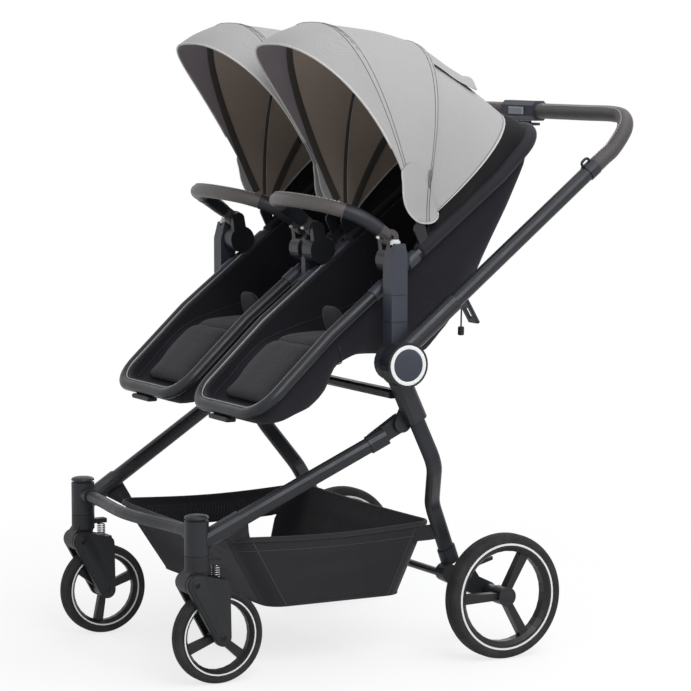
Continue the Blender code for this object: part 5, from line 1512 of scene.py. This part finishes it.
def caster_trim(side):
    """Cap and joints of the head, arms and screws of the fork."""
    x = SIDES[side] * CASTER_X
    dome = [(-0.0012, 0.0207), (0.0, 0.0207), (0.0014, 0.0202), (0.0030, 0.0185), (0.0043, 0.0150),
            (0.0051, 0.0095), (0.0053, 0.0)]
    lathe_piece(f"caster_cap_{side}", dome, at(x, HEAD_Y, 0.281), (0, 0, 1), head_grey,
                "front_frame", 56, 25)
    band = [(-0.0005, 0.0202), (-0.0005, 0.02075), (0.0005, 0.02075), (0.0005, 0.0202),
            (-0.0005, 0.0202)]
    joints = [lathe_mesh(band, at(x, HEAD_Y, z), (0, 0, 1), 56) for z in (0.2040, 0.2095)]
    joined(f"caster_joints_{side}", joints, rim_black, f"caster_{side}")
    coil = [at(x + 0.0068 * math.cos(k * math.pi / 9),
               SPRING_Y + 0.0068 * math.sin(k * math.pi / 9), 0.1796 + 0.0193 * k / 90)
            for k in range(91)]
    spring = tube_piece(f"spring_coil_{side}", coil, circle(0.0012, 8), steel, f"caster_{side}",
                        "steel", smooth=180)
    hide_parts(f"fork_spring_{side}")
    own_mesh(spring)
    arms, screws = [], []
    for face in (1, -1):
        start = x + face * 0.0238
        for top, low, near, far in ((0.0160, 0.0128, 0.0, 0.0016),
                                    (0.0098, 0.0078, 0.0012, 0.0026)):
            arms.append(plate(hull([(*PIVOT, top), (*AXLE, low)]), start + face * near,
                              start + face * far))
        for y, z in (PIVOT, AXLE):
            screws.append(lathe_mesh(SCREW, at(start + face * 0.0025, y, z), (face, 0, 0), 20))
    soften(joined(f"fork_arms_{side}", arms, plastic_black, f"fork_{side}", 30),
           0.0005)
    joined(f"fork_screws_{side}", screws, screw_black, f"fork_{side}", 30)


for side in SIDES:
    caster_trim(side)
print("casters dressed")

# %% [markdown]
# ## Fold hubs and posts
# The pivot of the push handle is covered by a slightly domed disc in a pale ring. The outer seat
# post is moulded in three parts, so thin dark joints run round it.

# %% Hub discs and post joints
HUB_X, HUB_Y, HUB_Z = 0.3694, -0.055, 0.529
POST_X, POST_Y, POST_WIDE = 0.3216, -0.053, 0.0304


def hub_trim(side):
    """Disc and pale ring on the push tube's hub."""
    out = SIDES[side]
    centre = at(out * HUB_X, HUB_Y, HUB_Z)
    ring = [(-0.0004, 0.0336), (0.0009, 0.0334), (0.0012, 0.0326), (0.0012, 0.0280),
            (0.0009, 0.0272), (-0.0004, 0.0270), (-0.0004, 0.0336)]
    lathe_piece(f"hub_ring_{side}", ring, centre, (out, 0, 0), ring_white, "handle",
                80, 30)
    disc = [(-0.0004, 0.0269), (0.0006, 0.0266), (0.0014, 0.0220), (0.0018, 0.0130),
            (0.0020, 0.0)]
    lathe_piece(f"hub_disc_{side}", disc, centre, (out, 0, 0), housing_grey, "handle",
                80, 30)


def post_joints(side):
    """Dark joint lines round the seat post."""
    x = SIDES[side] * POST_X
    lines = []
    for z in (0.643, 0.5984):
        loop = [at(x + u, POST_Y + v, z) for u, v in flat_section(POST_WIDE, POST_WIDE, 0.004)]
        lines.append(tube_mesh(loop, circle(0.0006, 6), closed=True))
    joined(f"post_joints_{side}", lines, rim_black, "rear_frame")


for side in SIDES:
    hub_trim(side)
    post_joints(side)
print("hubs and posts dressed")

# %% [markdown]
# ## Bumper bars
# Each bumper bar is a curved tube wrapped in leatherette, a lighter copy of the handle's as painted
# highlight, with one sewn row on top; its stitches are light and oversized, partly painted
# highlight on the grain. Both ends run into moulded arms with a slot at the joint and a pale
# release pin underneath, whose white is partly a painted glint.

# %% Bumper grips, arms and stitching
BUMPER_LANE = 0.1357
BUMPER_LINE = ((0.0, -0.052, 0.739), (-0.001, -0.077, 0.757), (-0.010, -0.107, 0.775),
               (-0.040, -0.140, 0.788), (-0.085, -0.160, 0.794))


def bumper_path(seat_x):
    """The bar's centre line from its left eye to its right one."""
    left = [(BUMPER_LANE + x, y, z) for x, y, z in BUMPER_LINE]
    whole = left + [(0, -0.167, 0.796)] + [(-x, y, z) for x, y, z in reversed(left)]
    return round_line([at(seat_x + x, y, z) for x, y, z in whole], 8)


def stitches(path, offset, step, length, width):
    """Short raised threads along a path, moved off its middle."""
    spots = evenly(path, max(int(sum((b - a).length for a, b in zip(path, path[1:])) / step), 2))
    parts = []
    for a, b in zip(spots, spots[1:]):
        ahead = (b - a).normalized()
        up = offset - ahead * offset.dot(ahead)
        middle = (a + b) / 2 + up.normalized() * offset.length
        ends = [middle + ahead * length * k for k in (-0.5, -0.25, 0.25, 0.5)]
        parts.append(tube_mesh(ends, circle(width, 6), up=up))
    return parts


def bumper_trim(side):
    """Leatherette grip, moulded arms, slots and pins of one bumper bar."""
    seat_x, body = SIDES[side] * SEAT_X, f"bumper_{side}"
    path = bumper_path(seat_x)
    first = 19  # the point of the path where an arm ends and the grip begins
    grip = path[first:len(path) - first]
    plane = Vector((0, -0.5, 0.9)).normalized()
    # The grip's lighter leatherette is painted highlight.
    tube_piece(f"bumper_grip_{side}", grip, circle(0.0123, 24), bumper_leather_painted_light, body, "leatherette",
               up=plane, smooth=60,
               scale=lambda t: 1.0 - 0.05 * max(0.0, 1 - min(t, 1 - t) / 0.02))
    # Light, oversized threads: partly stitching, partly painted highlight on the grain.
    joined(f"bumper_stitches_and_highlights_{side}", stitches(grip[2:-2], Vector((0, -0.0030, 0.0121)), 0.0066,
                                               0.0038, 0.0012), stitch_and_highlight_grey, body)
    arms, rings, pins = [], [], []
    for run in (path[5:first + 1], list(reversed(path))[5:first + 1]):
        arms.append(tube_mesh(run, circle(0.0129, 24), up=plane,
                              scale=lambda t: 0.93 + 0.07 * min(t / 0.25, 1.0)))
        rings.append(tube_mesh([run[-1], run[-1] + (run[-1] - run[-2]).normalized() * 0.0016],
                               circle(0.0131, 24), up=plane))
        x = run[0].x
        pins.append(lathe_mesh([(0.0105, 0.0030), (0.0146, 0.0030), (0.0152, 0.0022), (0.0153, 0)],
                               at(x, -0.0625, 0.7475), (0, -0.58, -0.81), 20))
    joined(f"bumper_arms_{side}", arms, head_grey, body, 60)
    joined(f"bumper_joints_{side}", rings, rim_black, body, 40)
    # The release pins' white is partly a painted glint.
    joined(f"bumper_pins_painted_glint_{side}", pins, ring_white, body, 40)


# Light grey thread: real stitching, with its lightness a painted highlight on the grain.
stitch_and_highlight_grey = cloth("stitch_and_highlight_grey", (140, 138, 138), (168, 166, 166), 1400.0, 0.00004, 0.4,
                    rough=0.7, sheen=0.05)
for side in SIDES:
    bumper_trim(side)
print("bumper bars dressed")

# %% [markdown]
# ## Push handle
# The grips are leatherette sleeves sewn along the inside of the bend. A smooth tube with many sides
# replaces the plain one, with a fine puckered look at the seam from small stitches, made light and
# large as painted highlights.

# %% Handle grips and collar hooks
ARM_FOOT, ARM_DIR = Vector((0, -0.0662, 0.5431)), Vector((0, 0.7826, 0.6225))
ARM_UP = Vector((0, -0.6225, 0.7826))
ARM_X, BAR_Y, BAR_Z, HOUSING_END = 0.3540, 0.398, 0.936, 0.0534


def on_arm(side, along, lift=0.0):
    """A point on a push tube's axis, lifted off it towards the front."""
    spot = ARM_FOOT + ARM_DIR * along + ARM_UP * lift
    return at(SIDES[side] * ARM_X, spot.y, spot.z)


def handle_trim(side):
    """Grip with its stitching, and the hook on the collar."""
    out = SIDES[side]
    path = [on_arm(side, 0.4936), on_arm(side, 0.515), on_arm(side, 0.540),
            at(out * 0.3485, 0.383, 0.911), at(out * 0.326, 0.396, 0.930),
            *(at(out * x, BAR_Y, BAR_Z) for x in (0.290, 0.204, 0.120, HOUSING_END))]
    line = round_line(path, 8)
    grip = tube_piece(f"grip_cover_{side}", line, circle(0.0139, 28), leatherette, "handle_upper",
                      "leatherette", up=ARM_UP, smooth=60,
                      scale=lambda t: 1.0 - 0.06 * max(0.0, 1 - min(t, 1 - t) / 0.012))
    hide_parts(f"handle_grip_{side}")
    # Light, oversized threads: partly stitching, partly painted highlight.
    joined(f"grip_stitches_and_highlights_{side}", stitches(line[3:-3], ARM_UP * 0.0139, 0.0056, 0.0038, 0.0012),
           stitch_and_highlight_grey, "handle_upper")
    hook = [on_arm(side, along, lift) for along, lift in
            ((0.474, 0.0135), (0.474, 0.0185), (0.4775, 0.0215), (0.486, 0.0215),
             (0.4895, 0.0185), (0.4895, 0.0135))]
    tube_piece(f"collar_hook_{side}", round_line(hook, 4), circle(0.0024, 10), plastic_black,
               "handle", "plastic_black", up=Vector((1, 0, 0)), smooth=60)


for side in SIDES:
    handle_trim(side)
print("push handle dressed")

# %% [markdown]
# ## Ring tubes and crotch pads
# The seat's ring is a round alloy tube, drawn again with more sides, with two moulded collars
# where the post clips on. A small soft pad stands up at the back of each seat for the strap
# between the child's legs.

# %% Smooth rails, collars and crotch pads
def rail_trim(side):
    """Round tube over the lower ring, and the collars beside the hub."""
    seat_x, body = SIDES[side] * SEAT_X, f"seat_{side}"
    tube_piece(f"rail_tube_{side}", ring_loop(seat_x, 0.0, RAIL_END, 0.0, 0.0),
               circle(0.01025, 20), tube_dark, body, "tube_dark", up=ACROSS_RING, smooth=180)
    collars = []
    for start, end in ((0.290, 0.318), (0.372, 0.396)):
        for line in ring_line(seat_x, start, end, 0.0, 0.0):
            collars.append(tube_mesh(line[::6], circle(0.0122, 24)))
    soften(joined(f"rail_collars_{side}", collars, housing_grey, body, 40), 0.0008)


def crotch_pad(side):
    """A small soft wedge that stands on the seat pad."""
    seat_x = SIDES[side] * SEAT_X
    wide, thick, tall = 0.034, 0.0105, 0.032
    verts, rows, around = [], 14, 28
    for i in range(rows + 1):
        t = math.pi * i / rows
        for k in range(around):
            a = 2 * math.pi * k / around
            x = wide * math.copysign(abs(math.cos(a)) ** 0.75, math.cos(a)) * math.sin(t) ** 0.55
            y = thick * math.sin(a) * math.sin(t) ** 0.8
            z = -tall * math.cos(t)
            crease = 0.0009 * math.cos(3 * a) * math.sin(2 * t)
            verts.append(at(seat_x + x, -0.078 + y - 0.30 * z + crease, 0.580 + z))
    faces = [(i * around + k, i * around + (k + 1) % around, (i + 1) * around + (k + 1) % around,
              (i + 1) * around + k) for i in range(rows) for k in range(around)]
    pad = new_piece(f"crotch_pad_{side}", verts, faces, pad_charcoal, f"seat_{side}",
                    180)


for side in SIDES:
    rail_trim(side)
    crotch_pad(side)
print("rails and crotch pads ready")

# %% [markdown]
# ## Floor and light
# A pale seamless floor, a white background and big soft lamps, as in a product studio. The key
# light stands above and left of the camera, a weaker one fills the far side, and a third from
# behind gives the tubes a rim of light.

# %% Build the studio
SURROUND = (0.36, 0.37, 0.39, 1)  # the light that the surround itself throws
LAMPS = (("key", (3.8, -0.7, 3.3), 2.6, 145.0), ("fill", (3.4, 2.6, 2.2), 2.4, 36.0),
         ("top", (0.3, 0.8, 3.6), 2.4, 52.0), ("back", (-2.8, 2.6, 2.4), 2.4, 26.0),
         ("front", (-1.2, -3.6, 1.6), 2.4, 10.0))


def seen_rays(tree):
    """One for camera, mirror and glass rays, so that these see a white surround."""
    path = tree.nodes.new("ShaderNodeLightPath")
    total = path.outputs["Is Camera Ray"]
    for other in ("Is Glossy Ray", "Is Transmission Ray"):
        add = tree.nodes.new("ShaderNodeMath")
        add.operation, add.use_clamp = "ADD", True
        tree.links.new(total, add.inputs[0])
        tree.links.new(path.outputs[other], add.inputs[1])
        total = add.outputs[0]
    return total


def floor_finish():
    """Pale floor that keeps a soft shadow near the stroller and fades to white further off."""
    made = Finish("floor", (240, 240, 240), 0.80)
    material = made.done(specular=0.1)
    tree = made.tree
    far = made.node("ShaderNodeVectorMath", operation="LENGTH")
    made.link(made.places, far.inputs[0])
    fade = made.span(far.outputs["Value"], 0.55, 1.5, 0.76, 1.0)
    share = made.math("MULTIPLY", fade, seen_rays(tree))
    glow = made.node("ShaderNodeEmission")
    glow.inputs["Strength"].default_value = 1.0
    mix = made.node("ShaderNodeMixShader")
    made.link(share, mix.inputs[0])
    made.link(made.shader.outputs[0], mix.inputs[1])
    made.link(glow.outputs[0], mix.inputs[2])
    sink = next(n for n in tree.nodes if n.type == "OUTPUT_MATERIAL")
    made.link(mix.outputs[0], sink.inputs["Surface"])
    return material


def studio():
    """Floor, soft lamps and the white surround."""
    floor = new_piece("floor", [(-9, -9, 0), (9, -9, 0), (9, 9, 0), (-9, 9, 0)], [(0, 1, 2, 3)],
                      floor_finish(), None)
    for name, place, size, power in LAMPS:
        data = bpy.data.lights.new(name, "AREA")
        data.energy, data.size = power, size
        lamp = bpy.data.objects.new(name, data)
        bpy.context.scene.collection.objects.link(lamp)
        lamp.location = place
        aim = Vector((0, 0, 0.5)) - Vector(place)
        lamp.rotation_euler = aim.to_track_quat("-Z", "Y").to_euler()
    world = bpy.data.worlds.new("studio")
    world.use_nodes = True
    back = world.node_tree.nodes["Background"]
    back.inputs["Strength"].default_value = 1.0
    tree = world.node_tree
    mix = tree.nodes.new("ShaderNodeMix")
    mix.data_type = "RGBA"
    mix.inputs[6].default_value = SURROUND
    mix.inputs[7].default_value = (1, 1, 1, 1)
    tree.links.new(seen_rays(tree), mix.inputs[0])
    tree.links.new(mix.outputs[2], back.inputs["Color"])
    bpy.context.scene.world = world
    bpy.context.scene.view_settings.view_transform = "Standard"
    return floor


floor = studio()
print("studio ready")
